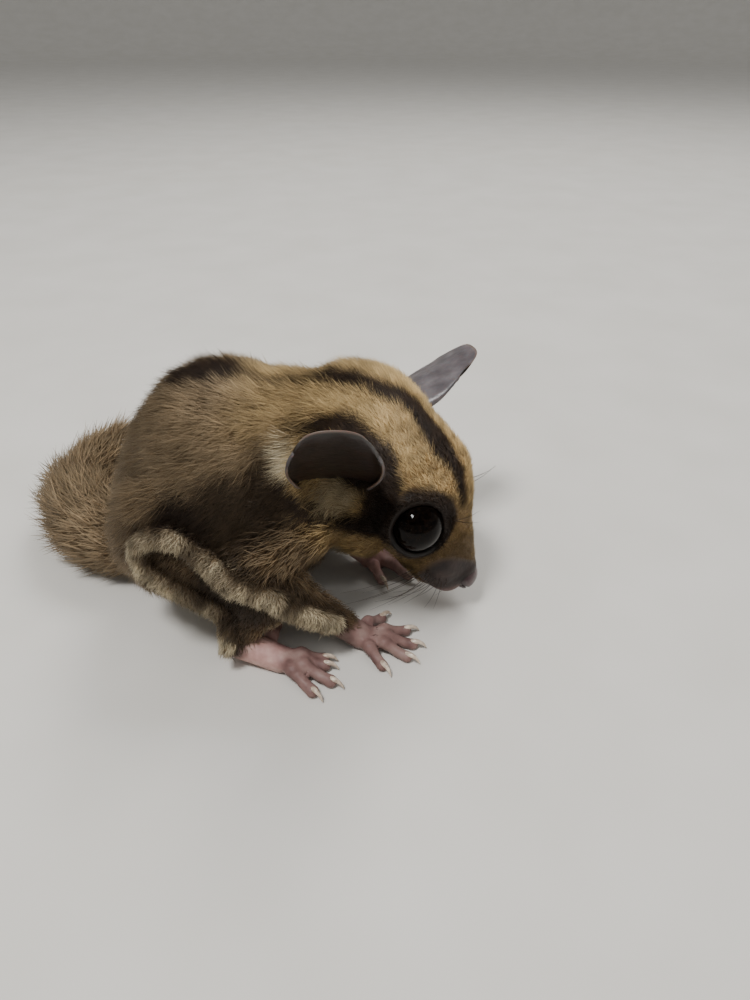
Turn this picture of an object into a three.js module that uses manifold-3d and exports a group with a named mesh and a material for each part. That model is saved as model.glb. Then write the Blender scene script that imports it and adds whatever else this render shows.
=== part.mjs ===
// A young sugar glider, life size, as a still model: crouched on its four feet with its back arched,
// its nose low and its long tail laid round its far side.
// Millimetres, +Z up, floor at z = 0. The trunk faces +X, so the animal's left is +Y and its right is -Y.
// The trunk, head and limbs are implicit forms that run into one another. They are meshed as one body
// and parted with thin cuts where one form gives way to the next. Hands, feet, ears, membranes and tail
// are swept along curves.

import * as THREE from "three";
import { mergeVertices } from "three/addons/utils/BufferGeometryUtils.js";
import Module from "manifold-3d";

const wasm = await Module();
wasm.setup();

const V = (x, y, z) => new THREE.Vector3(x, y, z);
const degrees = THREE.MathUtils.degToRad;
const mix = THREE.MathUtils.lerp;

// Repeatable draws from 0 to 1
function seeded(seed) {
  let state = seed;
  return () => {
    state = (state * 1664525 + 1013904223) % 2 ** 32;
    return state / 2 ** 32;
  };
}

// Driving dimensions

const GAP = 0.3; // between a node and the one it grows from
const BACK_HEIGHT = 42.8; // floor to the top of the arched back
const TRUNK_WIDTH = 39;
const SKULL_AT = V(22.1, -1.5, 24.2); // middle of the brain case
const HEAD_YAW = degrees(-19); // turned to the animal's right
const HEAD_PITCH = degrees(45); // nose down
const HEAD_ROLL = degrees(-4);
const HEAD_WIDTH = 29;
const NOSE_REACH = 24.5; // brain case middle to the tip of the nose
const EYE_RADIUS = 4.3;
const EAR_LENGTH = 18.5;
const EAR_WIDTH = 12.8;
const EAR_DEPTH = 1.7; // how far the cup bows out behind its opening
const TAIL_RADIUS = 7.6; // out to the tips of its coat, at the thickest
const TAIL_CORE = 3.6; // radius below the locks
const TAIL_SEED = 7;

// Sizes of the meshing: the side of a grid cell

const FACE_CELL = 2.7;
const TRUNK_CELL = 4.8;
const LIMB_CELL = 2.4;
const NOSE_CELL = 0.8;
const WRIST_CELL = 1.2;
const CUT_CELL = 4; // of the cuts that part the body
const SOFTNESS = 3.2; // how far two forms reach into one another where they meet

// Implicit forms. Each is a function of a point that is negative inside, with the box that holds it

function form(distance, box) {
  return Object.assign(distance, { box });
}

function egg(centre, radii) {
  const box = new THREE.Box3(centre.clone().sub(radii), centre.clone().add(radii));
  return form((p) => {
    const x = (p.x - centre.x) / radii.x;
    const y = (p.y - centre.y) / radii.y;
    const z = (p.z - centre.z) / radii.z;
    const scaled = Math.hypot(x, y, z);
    const steepness = Math.hypot(x / radii.x, y / radii.y, z / radii.z);
    return steepness < 1e-9 ? -Math.min(radii.x, radii.y, radii.z) : (scaled * (scaled - 1)) / steepness;
  }, box);
}

function taper(from, to, fromRadius, toRadius) {
  const along = to.clone().sub(from);
  const box = new THREE.Box3()
    .union(new THREE.Box3().setFromCenterAndSize(from, V(2, 2, 2).multiplyScalar(fromRadius)))
    .union(new THREE.Box3().setFromCenterAndSize(to, V(2, 2, 2).multiplyScalar(toRadius)));
  const offset = V();
  return form((p) => {
    offset.copy(p).sub(from);
    const share = THREE.MathUtils.clamp(offset.dot(along) / along.lengthSq(), 0, 1);
    return offset.addScaledVector(along, -share).length() - mix(fromRadius, toRadius, share);
  }, box);
}

function softMin(a, b, reach) {
  const near = Math.max(reach - Math.abs(a - b), 0) / reach;
  return Math.min(a, b) - (near * near * reach) / 4;
}

function blend(reach, ...forms) {
  const box = forms.reduce((all, one) => all.union(one.box), new THREE.Box3());
  return form((p) => forms.reduce((d, one) => softMin(d, one(p), reach), 1e3), box);
}

function grown(shape, by) {
  return form((p) => shape(p) - by, shape.box.clone().expandByScalar(by));
}

// The same form, seen from a frame that is turned and moved against the body's
function seenFrom(shape, frame, box) {
  const q = V();
  return form((p) => shape(q.copy(p).applyMatrix4(frame)), box);
}

// Meshing: a vertex for each sheet of the surface in each grid cell, drawn on to the surface itself

const CORNERS = [0, 1, 2, 3, 4, 5, 6, 7];
const EDGES = [0, 1, 2].flatMap((axis) =>
  CORNERS.filter((c) => !((c >> axis) & 1)).map((c) => [c, c | (1 << axis)]));
const edgeBetween = (a, b) =>
  EDGES.findIndex(([low, high]) => low === Math.min(a, b) && high === Math.max(a, b));
const CELL_FACES = [0, 1, 2].flatMap((axis) => {
  const [u, v] = [1 << ((axis + 1) % 3), 1 << ((axis + 2) % 3)];
  return [0, 1 << axis].map((side) => [side, side | u, side | u | v, side | v]);
});
const FACE_TURNS = CELL_FACES.map((face) => face.map((corner, i) => ({
  corner,
  before: edgeBetween(face[(i + 3) % 4], corner),
  after: edgeBetween(corner, face[(i + 1) % 4]),
})));

function surfaceOf(field, cell, box = field.box, push = 0) {
  const low = box.min.clone().subScalar(2 * cell);
  const counts = box.getSize(V()).addScalar(4 * cell).toArray().map((s) => Math.ceil(s / cell) + 1);
  const [nx, ny, nz] = counts;
  const strides = [1, nx, nx * ny];
  const values = new Float32Array(nx * ny * nz);
  const p = V();
  const eachNode = (from, inset, visit) => {
    for (let k = from; k < nz - inset; k++)
      for (let j = from; j < ny - inset; j++)
        for (let i = from; i < nx - inset; i++) visit(i + j * nx + k * nx * ny, i, j, k);
  };
  values.fill(cell);
  eachNode(1, 1, (n, i, j, k) => {
    values[n] = field(p.set(i, j, k).multiplyScalar(cell).add(low));
  });

  const offsets = CORNERS.map((c) => strides.reduce((sum, s, axis) => sum + s * ((c >> axis) & 1), 0));
  const vertices = [];
  const vertexOf = new Map();
  eachNode(0, 1, (n, i, j, k) => {
    const signs = offsets.reduce((bits, offset, c) => bits | ((values[n + offset] < 0) << c), 0);
    if (signs === 0 || signs === 255) return;
    for (const sheet of sheetsOf(signs)) {
      const middle = V();
      for (const e of sheet) {
        const [a, b] = EDGES[e];
        const share = values[n + offsets[a]] / (values[n + offsets[a]] - values[n + offsets[b]]);
        for (let axis = 0; axis < 3; axis++) {
          const [from, to] = [(a >> axis) & 1, (b >> axis) & 1];
          middle.setComponent(axis, middle.getComponent(axis) + mix(from, to, share) / sheet.length);
        }
        vertexOf.set(n * EDGES.length + e, vertices.length);
      }
      middle.add(V(i, j, k)).multiplyScalar(cell).add(low);
      const at = ontoSurface(field, middle, cell);
      vertices.push(push ? at.addScaledVector(slopeOf(field, at, cell / 20).normalize(), push) : at);
    }
  });

  const faces = [];
  eachNode(0, 1, (n) => {
    for (let axis = 0; axis < 3; axis++) {
      const inside = values[n] < 0;
      if (inside === values[n + strides[axis]] < 0) continue;
      const across = 1 << ((axis + 1) % 3);
      const up = 1 << ((axis + 2) % 3);
      const ring = [across | up, up, 0, across].map((corner) =>
        vertexOf.get((n - offsets[corner]) * EDGES.length + edgeBetween(corner, corner | (1 << axis))));
      quad(faces, vertices, inside ? ring : ring.reverse());
    }
  });
  return shellOf(vertices, faces);
}

// The cell's crossed edges, grouped into the separate sheets that pass through it
function sheetsOf(signs) {
  const inside = (corner) => (signs >> corner) & 1;
  const crossed = EDGES.map((_, e) => e).filter((e) => inside(EDGES[e][0]) !== inside(EDGES[e][1]));
  const group = EDGES.map((_, e) => e);
  const join = (a, b) => {
    const [from, to] = [group[a], group[b]];
    group.forEach((g, e) => {
      if (g === from) group[e] = to;
    });
  };
  for (const turns of FACE_TURNS) {
    const cut = turns.filter(({ after }) => crossed.includes(after));
    if (cut.length === 2) join(cut[0].after, cut[1].after);
    if (cut.length === 4)
      for (const { corner, before, after } of turns) if (inside(corner)) join(before, after);
  }
  const roots = [...new Set(crossed.map((e) => group[e]))];
  return roots.map((root) => crossed.filter((e) => group[e] === root));
}

function slopeOf(field, point, step) {
  const here = field(point);
  const q = V();
  return V(...["x", "y", "z"].map((axis) => {
    q.copy(point)[axis] += step;
    return (field(q) - here) / step;
  }));
}

function ontoSurface(field, point, cell) {
  const start = point.clone();
  for (let turn = 0; turn < 2; turn++) {
    const slope = slopeOf(field, point, cell / 20);
    point.addScaledVector(slope, -field(point) / Math.max(slope.lengthSq(), 0.1));
  }
  return point.distanceTo(start) < cell / 2 ? point : start;
}

function quad(faces, vertices, [a, b, c, d]) {
  const acrossAC = vertices[a].distanceTo(vertices[c]) < vertices[b].distanceTo(vertices[d]);
  faces.push(...(acrossAC ? [a, b, c, a, c, d] : [b, c, d, b, d, a]));
}

function shellOf(vertices, faces) {
  const geometry = new THREE.BufferGeometry().setFromPoints(vertices);
  return geometry.setIndex(faces);
}

// Between three.js geometry and solids that can be joined and cut

function solid(geometry) {
  const bare = new THREE.BufferGeometry().setAttribute("position", geometry.getAttribute("position"));
  const merged = mergeVertices(bare.setIndex(geometry.index), 1e-4);
  return new wasm.Manifold(
    new wasm.Mesh({
      numProp: 3,
      vertProperties: merged.attributes.position.array,
      triVerts: new Uint32Array(merged.index.array),
    }),
  );
}

function largest(whole) {
  const pieces = whole.decompose();
  return pieces.reduce((best, piece) => (piece.volume() > best.volume() ? piece : best), pieces[0]);
}

function geometryOf(whole) {
  const { vertProperties, numProp, triVerts } = largest(whole).getMesh();
  const geometry = new THREE.BufferGeometry();
  geometry.setAttribute("position", new THREE.InterleavedBufferAttribute(
    new THREE.InterleavedBuffer(vertProperties, numProp), 3, 0));
  geometry.setIndex(new THREE.BufferAttribute(triVerts, 1));
  const flat = geometry.toNonIndexed();
  flat.computeVertexNormals();
  return flat;
}

// What stays of a solid on the side of a plane that its normal points away from
function behindPlane(whole, point, normal) {
  const n = normal.clone().normalize().negate();
  return whole.trimByPlane(n.toArray(), n.dot(point));
}

// Sweeps: rings of points along a curve, closed at both ends

function sweep(curve, steps, sides, ringAt) {
  const vertices = [];
  const faces = [];
  for (let i = 0; i <= steps; i++) {
    const t = i / steps;
    const { width, height, up, shift = 0 } = ringAt(t);
    const centre = curve.getPointAt(t);
    const ahead = curve.getTangentAt(t);
    const side = V().crossVectors(up, ahead).normalize();
    const top = V().crossVectors(ahead, side);
    centre.addScaledVector(side, shift);
    for (let s = 0; s < sides; s++) {
      const angle = (2 * Math.PI * s) / sides;
      vertices.push(centre.clone()
        .addScaledVector(side, width * Math.cos(angle))
        .addScaledVector(top, height * Math.sin(angle)));
    }
  }
  for (let i = 0; i < steps; i++)
    for (let s = 0; s < sides; s++) {
      const a = i * sides + s;
      const b = i * sides + ((s + 1) % sides);
      faces.push(a, b, b + sides, a, b + sides, a + sides);
    }
  for (let s = 1; s < sides - 1; s++) {
    const end = steps * sides;
    faces.push(0, s + 1, s, end, end + s, end + s + 1);
  }
  return shellOf(vertices, faces);
}

const smooth = (...points) => new THREE.CatmullRomCurve3(points, false, "centripetal");

// The head's own frame: +X to the nose, +Z to the crown, origin in the middle of the brain case

const headGroup = new THREE.Group();
headGroup.position.copy(SKULL_AT);
headGroup.rotation.set(HEAD_ROLL, HEAD_PITCH, HEAD_YAW, "ZYX");
headGroup.updateMatrix();
const fromHead = headGroup.matrix;
const toHead = fromHead.clone().invert();

const NOSE_TIP = V(NOSE_REACH, 0, -2.3);
const EYE_AT = V(7.2, 8.5, 2.3); // of the left eye; the right one is its mirror image
const LID_OUT = V(0.3, 0.83, 0.46).normalize(); // the way that the left eye looks
const EAR_AT = V(-6.5, 13, 0.4); // middle of the left ear's root

const mirrored = (point, side) => V(point.x, point.y * side, point.z);

function headForm() {
  const half = HEAD_WIDTH / 2;
  const pair = (make) => [make(1), make(-1)];
  const brainCase = egg(V(-6, 0, 1.4), V(13.6, half - 0.8, 11.7));
  const forehead = egg(V(2.5, 0, 2.6), V(11, 10, 9.1));
  const snout = taper(V(4, 0, 2.8), V(NOSE_REACH - 4, 0, -2), 9.3, 3);
  const jaw = taper(V(2, 0, -6.8), V(NOSE_REACH - 6, 0, -7.4), 5.4, 1.9);
  const cheeks = pair((side) => egg(V(-1, 7.6 * side, -5.8), V(10, 6.4, 7)));
  const whiskerPads = pair((side) => egg(V(NOSE_REACH - 6.2, 2.5 * side, -4.5), V(4.4, 2.9, 2.8)));
  const muzzle = pair((side) => egg(V(NOSE_REACH - 12, 3.6 * side, -2.6), V(7, 4.2, 4.4)));
  const orbits = pair((side) => egg(mirrored(EYE_AT, side).add(V(-0.8, -0.7 * side, 0)), V(5.8, 4.9, 5.6)));
  return blend(3, brainCase, forehead, snout, jaw, ...cheeks, ...whiskerPads, ...muzzle, ...orbits);
}

// The trunk and limbs, in the body's frame. Side is 1 on the animal's left and -1 on its right

const flank = TRUNK_WIDTH / 2;

const JOINTS = { // of the left side; the right one is their mirror image but for the hand that stands apart
  shoulder: V(9, 11.5, 21),
  elbow: V(2, 18, 17.5),
  wrist: V(15, 15.5, 4.4),
  hip: V(-11, 11, 21),
  knee: V(4, 17.6, 12.5),
  ankle: V(-1.5, 19.2, 4.2),
};
const LEFT_WRIST = V(17, 4.5, 4.4); // under the chin, where the head turns away from it

function jointsOf(side) {
  const joints = Object.fromEntries(Object.entries(JOINTS).map(([name, at]) => [name, mirrored(at, side)]));
  return side > 0 ? { ...joints, wrist: LEFT_WRIST } : joints;
}

function trunkForm() {
  const ribs = egg(V(4.5, 0, 22.5), V(13.5, flank - 3, 17));
  const loins = egg(V(-4, 0, BACK_HEIGHT - 21), V(16.5, flank - 1, 21));
  const rump = egg(V(-11, 0, 17), V(12, flank - 4, 15));
  return blend(6, ribs, loins, rump);
}

function neckForm() {
  return egg(V(9.3, 0, 26.4), V(10, 15.6, 14));
}

function armForm(side) {
  const { shoulder, elbow, wrist } = jointsOf(side);
  return blend(2, taper(shoulder, elbow, 6.2, 4.4), taper(elbow, wrist, 4, 2.3));
}

function legForm(side) {
  const { hip, knee, ankle } = jointsOf(side);
  const haunch = egg(V(-8.5, 12.2 * side, 18.5), V(12.5, 7.4, 13));
  return blend(3, haunch, taper(hip, knee, 8, 4.8), taper(knee, ankle, 4.4, 2.6));
}

const headLocal = headForm();
const headBox = headLocal.box.clone().applyMatrix4(fromHead);
const trunk = blend(SOFTNESS, trunkForm(), neckForm(), seenFrom(headLocal, toHead, headBox));
const limbs = { arm_right: armForm(-1), arm_left: armForm(1), leg_right: legForm(-1), leg_left: legForm(1) };
const body = blend(SOFTNESS, trunk, ...Object.values(limbs));
const bodyFrame = new THREE.Matrix4();

// Negative where a limb is nearer than the trunk and the other limbs
function shareOf(name) {
  const own = limbs[name];
  const others = [trunk, ...Object.keys(limbs).filter((n) => n !== name).map((n) => limbs[n])];
  return form((p) => own(p) - Math.min(...others.map((other) => other(p))), own.box);
}

// A solid with copies of itself moved a little each way, to keep others clear of it
function swollen(whole) {
  const by = 0.8 * GAP;
  const ways = [V(by, 0, 0), V(0, by, 0), V(0, 0, by)].flatMap((way) => [way, way.clone().negate()]);
  return wasm.Manifold.union(ways.map((way) => whole.translate(way.toArray())));
}

// The limbs are cut from the body one after another, each clear of the ones before it
const taken = [];

function limbNode(name) {
  const box = limbs[name].box.clone().expandByScalar(SOFTNESS / 2);
  const share = seenFrom(shareOf(name), bodyFrame, box.clone().expandByScalar(2 * LIMB_CELL));
  const cut = (push) => solid(surfaceOf(share, CUT_CELL, share.box, push));
  let node = solid(surfaceOf(seenFrom(body, bodyFrame, box), LIMB_CELL)).intersect(cut(-GAP / 2));
  for (const other of taken) node = node.subtract(other);
  node = largest(node);
  taken.push(cut(GAP / 2), swollen(node));
  return node;
}

// Head, neck and torso are parted by two planes, one behind the ears and one in front of the shoulders
const COLLARS = {
  head: { at: V(11, 0, 31), facing: V(1, -0.2, 0.25).normalize() },
  neck: { at: V(5.8, 0, 31), facing: V(1, -0.1, 0.35).normalize() },
};

function aheadOf(whole, { at, facing }) {
  return behindPlane(whole, at.clone().addScaledVector(facing, GAP / 2), facing.clone().negate());
}

function behind(whole, { at, facing }) {
  return behindPlane(whole, at.clone().addScaledVector(facing, -GAP / 2), facing);
}

function trunkPiece(box, cell, frame = bodyFrame) {
  const skin = solid(surfaceOf(seenFrom(body, frame, box), cell)).transform(frame.elements);
  return taken.reduce((whole, other) => whole.subtract(other), skin);
}

// A thin curved sheet: pointAt(u, v) for u and v from 0 to 1, with its two faces split into triangles alike

function sheet(pointAt, thicknessAt, across, along) {
  const vertices = [];
  const faces = [];
  const step = 1e-3;
  const rowLength = across + 1;
  for (const face of [1, -1])
    for (let j = 0; j <= along; j++)
      for (let i = 0; i <= across; i++) {
        const [u, v] = [i / across, j / along];
        const here = pointAt(u, v);
        const overU = pointAt(Math.min(u + step, 1), v).sub(pointAt(Math.max(u - step, 0), v));
        const overV = pointAt(u, Math.min(v + step, 1)).sub(pointAt(u, Math.max(v - step, 0)));
        const normal = overU.cross(overV).normalize();
        vertices.push(here.addScaledVector(normal, (face * thicknessAt(u, v)) / 2));
      }
  const back = rowLength * (along + 1);
  const at = (i, j) => i + j * rowLength;
  for (let j = 0; j < along; j++)
    for (let i = 0; i < across; i++) {
      const [a, b, c, d] = [at(i, j), at(i + 1, j), at(i + 1, j + 1), at(i, j + 1)];
      faces.push(a, b, c, a, c, d, back + a, back + c, back + b, back + a, back + d, back + c);
    }
  const wall = (a, b) => faces.push(a, back + b, b, a, back + a, back + b);
  for (let i = 0; i < across; i++) {
    wall(at(i, 0), at(i + 1, 0));
    wall(at(i + 1, along), at(i, along));
  }
  for (let j = 0; j < along; j++) {
    wall(at(across, j), at(across, j + 1));
    wall(at(0, j + 1), at(0, j));
  }
  return shellOf(vertices, faces);
}

// Exported group

const glider = new THREE.Group();
glider.add(headGroup);

const finish = {
  coat: new THREE.MeshStandardMaterial({ color: 0x8a7452, roughness: 0.95 }),
  paleCoat: new THREE.MeshStandardMaterial({ color: 0xcdbb95, roughness: 0.95 }),
  bareSkin: new THREE.MeshStandardMaterial({ color: 0xc79a96, roughness: 0.55 }),
  noseSkin: new THREE.MeshStandardMaterial({ color: 0x6a5054, roughness: 0.45 }),
  earSkin: new THREE.MeshStandardMaterial({ color: 0x5b5058, roughness: 0.5 }),
  eye: new THREE.MeshStandardMaterial({ color: 0x0a0909, roughness: 0.08 }),
};

function addNode(parent, name, whole, material) {
  const mesh = new THREE.Mesh(geometryOf(whole), material);
  mesh.name = name;
  parent.add(mesh);
  return mesh;
}

const SIDES = { right: -1, left: 1 };

// Eyes and lids, in the head's frame

const LID_OPENING = 3.85; // radius of the eye that shows
const LID_THICKNESS = 0.85;

function eyeball(side, extra = 0) {
  const at = mirrored(EYE_AT, side);
  return solid(new THREE.SphereGeometry(EYE_RADIUS + extra, 14, 9).translate(at.x, at.y, at.z));
}

function lidRing(side) {
  const out = mirrored(LID_OUT, side);
  const rim = Math.sqrt(EYE_RADIUS ** 2 - LID_OPENING ** 2);
  const centre = mirrored(EYE_AT, side).addScaledVector(out, rim);
  const ring = new THREE.TorusGeometry(LID_OPENING + LID_THICKNESS / 2, LID_THICKNESS, 5, 15);
  const turn = new THREE.Quaternion().setFromUnitVectors(V(0, 0, 1), out);
  return solid(ring.applyQuaternion(turn).translate(centre.x, centre.y, centre.z));
}

// What is scooped out of the brow and cheek in front of the eye, down to the lids
function eyeClearing(side) {
  const ahead = 3.5;
  const rim = Math.sqrt(EYE_RADIUS ** 2 - LID_OPENING ** 2);
  const at = mirrored(EYE_AT, side).addScaledVector(mirrored(LID_OUT, side), rim + ahead);
  return solid(new THREE.SphereGeometry(Math.hypot(ahead, LID_OPENING), 14, 8).translate(at.x, at.y, at.z));
}

// Mouth: lips that stand out a little along a line from one corner round the front to the other

const LIP = 0.7;
const mouthRoute = smooth(...[-1, -1, -1, 0, 1, 1, 1].map((side, i) => {
  const back = Math.abs(i - 3); // 0 at the front, 3 at the corners
  const guess = V(NOSE_REACH - 3.2 - 3.4 * back, 3.2 * side * back ** 0.4, -6.3 - 0.35 * back);
  return ontoSurface(headLocal, ontoSurface(headLocal, guess, 8), 8);
}));

function mouthPiece(radius) {
  return solid(sweep(mouthRoute, 12, 5, () => ({ width: radius, height: radius, up: V(0, 0, 1) })));
}

// Nose: the bare pad on the snout, with its two nostrils

function noseForm() {
  const off = (x, y, z) => NOSE_TIP.clone().add(V(x, y, z));
  const pad = egg(off(-2.1, 0, 0), V(2.1, 2.5, 1.9));
  const wings = [1, -1].map((side) => egg(off(-2, 1.5 * side, -0.3), V(1.7, 1.5, 1.5)));
  const lip = egg(off(-2.3, 0, -1.9), V(1.4, 1, 1.5)); // the cleft's skin, down to the mouth
  const whole = blend(0.7, pad, ...wings, lip);
  const nostrils = [1, -1].map((side) => egg(off(-0.7, 1.6 * side, -0.4), V(1.1, 0.5, 0.6)));
  return form((p) => Math.max(whole(p), -nostrils[0](p), -nostrils[1](p)), whole.box);
}

// Ears: a cup that is rolled at its root and opens towards a rounded tip

const EARS = {
  right: { lean: V(-0.32, -0.7, 0.64), opening: V(0.68, -0.64, -0.35) },
  left: { lean: V(0.24, 0.5, 0.82), opening: V(0.9, 0.16, -0.36) },
};
const EAR_SINK = 3.5; // how far it starts below the scalp, before it is cut clear of it

function earCup(side) {
  const { lean, opening } = EARS[side];
  const long = lean.clone().normalize();
  const out = opening.clone().addScaledVector(long, -opening.dot(long)).normalize();
  const wide = V().crossVectors(long, out);
  const root = mirrored(EAR_AT, SIDES[side]).addScaledVector(long, -EAR_SINK);
  const reach = EAR_LENGTH + EAR_SINK;
  const pointAt = (u, v) => {
    const edge = 2 * u - 1; // -1 and 1 on the two margins, 0 along the middle of its back
    const turn = edge * degrees(mix(128, 84, Math.min(1, v * 1.2)));
    const fullness = mix(0.55, 1, Math.sin(Math.PI * Math.min(1, 0.1 + v * 0.75)));
    return root.clone()
      .addScaledVector(wide, (EAR_WIDTH / 2) * fullness * Math.sin(turn))
      .addScaledVector(out, EAR_DEPTH * fullness * (0.5 - Math.cos(turn)) - 1.4 * v ** 3)
      .addScaledVector(long, reach * v * (1 - 0.32 * Math.abs(edge) ** 3 * v ** 2));
  };
  return solid(sheet(pointAt, (u, v) => mix(0.9, 0.6, v), 10, 7));
}

// Hands and feet: a palm, and digits that bend over the knuckle down to the floor, each ending in a claw.
// In a frame with its origin on the floor below the wrist or ankle, and +X the way that the digits point

const HAND = {
  palm: { length: 5.2, width: 2.7, height: 1.5, rise: 3.4 },
  digits: [
    { angle: 52, length: 4.6, root: 2.4 },
    { angle: 24, length: 5.6, root: 4.6 },
    { angle: 2, length: 6.2, root: 5.0 },
    { angle: -18, length: 6.2, root: 4.8 },
    { angle: -44, length: 5.2, root: 3.4 },
  ],
  thickness: 0.95,
};
const FOOT = {
  palm: { length: 8.6, width: 2.9, height: 1.7, rise: 3.2 },
  digits: [
    { angle: 100, length: 5.0, root: 4.2, bare: true },
    { angle: 16, length: 5.2, root: 8.2 },
    { angle: 6, length: 5.4, root: 8.4 },
    { angle: -12, length: 7.4, root: 8.4 },
    { angle: -30, length: 6.8, root: 7.6 },
  ],
  thickness: 1.05,
};
const PAD_SINK = 0.25; // how far pads reach below the floor before the flat is cut
const CLAW_LENGTH = 2.3;

function paw({ palm, digits, thickness }, inward) {
  const up = V(0, 0, 1);
  const sole = palm.height - PAD_SINK;
  const back = smooth(V(-1.2, 0, palm.rise + 0.6), V(0.6, 0, palm.rise - 0.4),
    V(palm.length * 0.5, 0, sole + 0.2), V(palm.length, 0, sole));
  const pieces = [solid(sweep(back, 4, 6, (t) => ({
    width: palm.width * (0.72 + 0.5 * t - 0.42 * t ** 6),
    height: palm.height * (1.1 - 0.2 * t - 0.35 * t ** 6),
    up,
  })))];
  for (const { angle, length, root, bare } of digits) {
    const heading = degrees(angle) * inward;
    const ahead = V(Math.cos(heading), Math.sin(heading), 0);
    const spread = palm.width * 0.75 * Math.sin(heading);
    const at = (reach, height) => V(root, spread, height).addScaledVector(ahead, reach);
    const tipHeight = thickness * 1.05 - PAD_SINK;
    const bones = smooth(at(-1.4, sole), at(length * 0.35, sole + 0.7), at(length * 0.75, tipHeight + 0.25),
      at(length, tipHeight));
    pieces.push(solid(sweep(bones, 3, 5, (t) => {
      const bulge = 1 + 0.22 * Math.sin(Math.PI * t * 2) ** 2 - 0.35 * t ** 8;
      return { width: thickness * bulge, height: thickness * 0.92 * bulge, up };
    })));
    if (bare) continue;
    const claw = smooth(at(length - 0.6, tipHeight + 0.3), at(length + CLAW_LENGTH * 0.45, tipHeight + 0.55),
      at(length + CLAW_LENGTH, 0.28));
    pieces.push(solid(sweep(claw, 2, 3, (t) => ({ width: mix(0.5, 0.14, t), height: mix(0.6, 0.16, t), up }))));
  }
  return behindPlane(wasm.Manifold.union(pieces), V(0, 0, 0), V(0, 0, -1));
}

// Tail: laid on the floor round the animal's far side, in three lengths. Each has a core and a coat of
// flat, tapered, bent locks in whorls, whose tips lie over the roots of the next ones

const TAIL_LIE = 6.9; // height of its middle, so that the locks below it lie flat on the floor
const tailCurve = smooth(V(-16, 0, 9.5), V(-24, 2, TAIL_LIE + 0.4), V(-33, 8, TAIL_LIE), V(-37.5, 18, TAIL_LIE),
  V(-34.5, 29, TAIL_LIE), V(-24, 36.5, TAIL_LIE), V(-8, 39.5, TAIL_LIE), V(6, 38, TAIL_LIE - 0.2),
  V(15, 34.5, TAIL_LIE - 1), V(21, 30, TAIL_LIE - 2.6));
const TAIL_PARTS = { tail_base: [0, 0.3], tail_middle: [0.3, 0.67], tail_tip: [0.67, 1] };
const CORE_END = 0.95; // the locks go on past it
const WHORLS = 8;
const LOCKS_ROUND = 5;
const LOCK = { length: 20, width: 8.8, thickness: 1.4, tip: 0.6 };

function tailRadius(t) {
  const root = mix(0.66, 1, Math.sin(Math.min(t / 0.22, 1) * Math.PI / 2));
  return TAIL_RADIUS * root * (1 - 0.22 * t * t);
}

// Where a point of the tail's coat lies: a share of the tail's length, a turn round it and a distance
// from its middle
function tailPoint(t, turn, reach) {
  const ahead = tailCurve.getTangentAt(Math.min(t, 1));
  const side = V().crossVectors(V(0, 0, 1), ahead).normalize();
  const top = V().crossVectors(ahead, side);
  return tailCurve.getPointAt(Math.min(t, 1))
    .addScaledVector(ahead, Math.max(t - 1, 0) * tailCurve.getLength())
    .addScaledVector(side, reach * Math.cos(turn))
    .addScaledVector(top, reach * Math.sin(turn));
}

// One lock, as three-cornered rings: its two edges and the ridge between them
function lock(t, turn, size) {
  const steps = [0, 0.35, 0.7, 1];
  const sides = 3;
  const vertices = [];
  const faces = [];
  for (const s of steps) {
    const along = t + (s * LOCK.length * size) / tailCurve.getLength();
    const rise = Math.sin((Math.min(1, 0.1 + 1.1 * s) * Math.PI) / 2);
    const reach = mix(TAIL_CORE * 0.6, tailRadius(t) * size - LOCK.tip / 2, rise);
    const half = mix(LOCK.width * size, LOCK.tip, s ** 1.6) / 2;
    const spread = half / reach; // the lock wraps a little round the tail
    const corners = [[spread, -0.15 * half], [-spread, -0.15 * half], [0, mix(LOCK.thickness, LOCK.tip, s)]];
    for (const [aside, above] of corners) vertices.push(tailPoint(along, turn + aside, reach + above));
  }
  for (let i = 0; i < steps.length - 1; i++)
    for (let k = 0; k < sides; k++) {
      const [a, b] = [sides * i + k, sides * i + ((k + 1) % sides)];
      faces.push(a, b, b + sides, a, b + sides, a + sides);
    }
  const end = vertices.length - sides;
  faces.push(0, 2, 1, end, end + 1, end + 2);
  return solid(shellOf(vertices, faces));
}

// The locks of one length, with those of its neighbours that reach into it, cut off square where the lengths meet
function tailPiece([from, to]) {
  const core = sweep(tailCurve, 24, 8, (t) => {
    const end = Math.sqrt(Math.max(1 - (t / CORE_END) ** 7, 0.02));
    const radius = TAIL_CORE * mix(0.8, 1, Math.min(t / 0.2, 1)) * end;
    return { width: radius, height: radius, up: V(0, 0, 1) };
  });
  const draw = seeded(TAIL_SEED);
  const reach = LOCK.length / tailCurve.getLength();
  const pieces = [solid(core)];
  for (let whorl = -1; whorl < WHORLS; whorl++)
    for (let i = 0; i < LOCKS_ROUND; i++) {
      const t = ((whorl + 0.3 + (i % 2) * 0.4 + 0.15 * draw()) / WHORLS) * (1 - reach);
      const turn = (2 * Math.PI * (i + (whorl % 2) / 2 + 0.2 * draw())) / LOCKS_ROUND;
      const size = mix(0.92, 1.05, draw());
      if (t > Math.max(from - 0.8 * reach, 0) && t < to) pieces.push(lock(t, turn, size));
    }
  let piece = wasm.Manifold.union(pieces).intersect(tailBox(from, to));
  const cut = (t, facing) => {
    const n = tailCurve.getTangentAt(t).multiplyScalar(facing);
    return [tailCurve.getPointAt(t).addScaledVector(n, -GAP / 2), n];
  };
  if (from > 0) piece = behindPlane(piece, ...cut(from, -1));
  if (to < 1) piece = behindPlane(piece, ...cut(to, 1));
  return largest(behindPlane(piece, V(0, 0, 0), V(0, 0, -1)));
}

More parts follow.
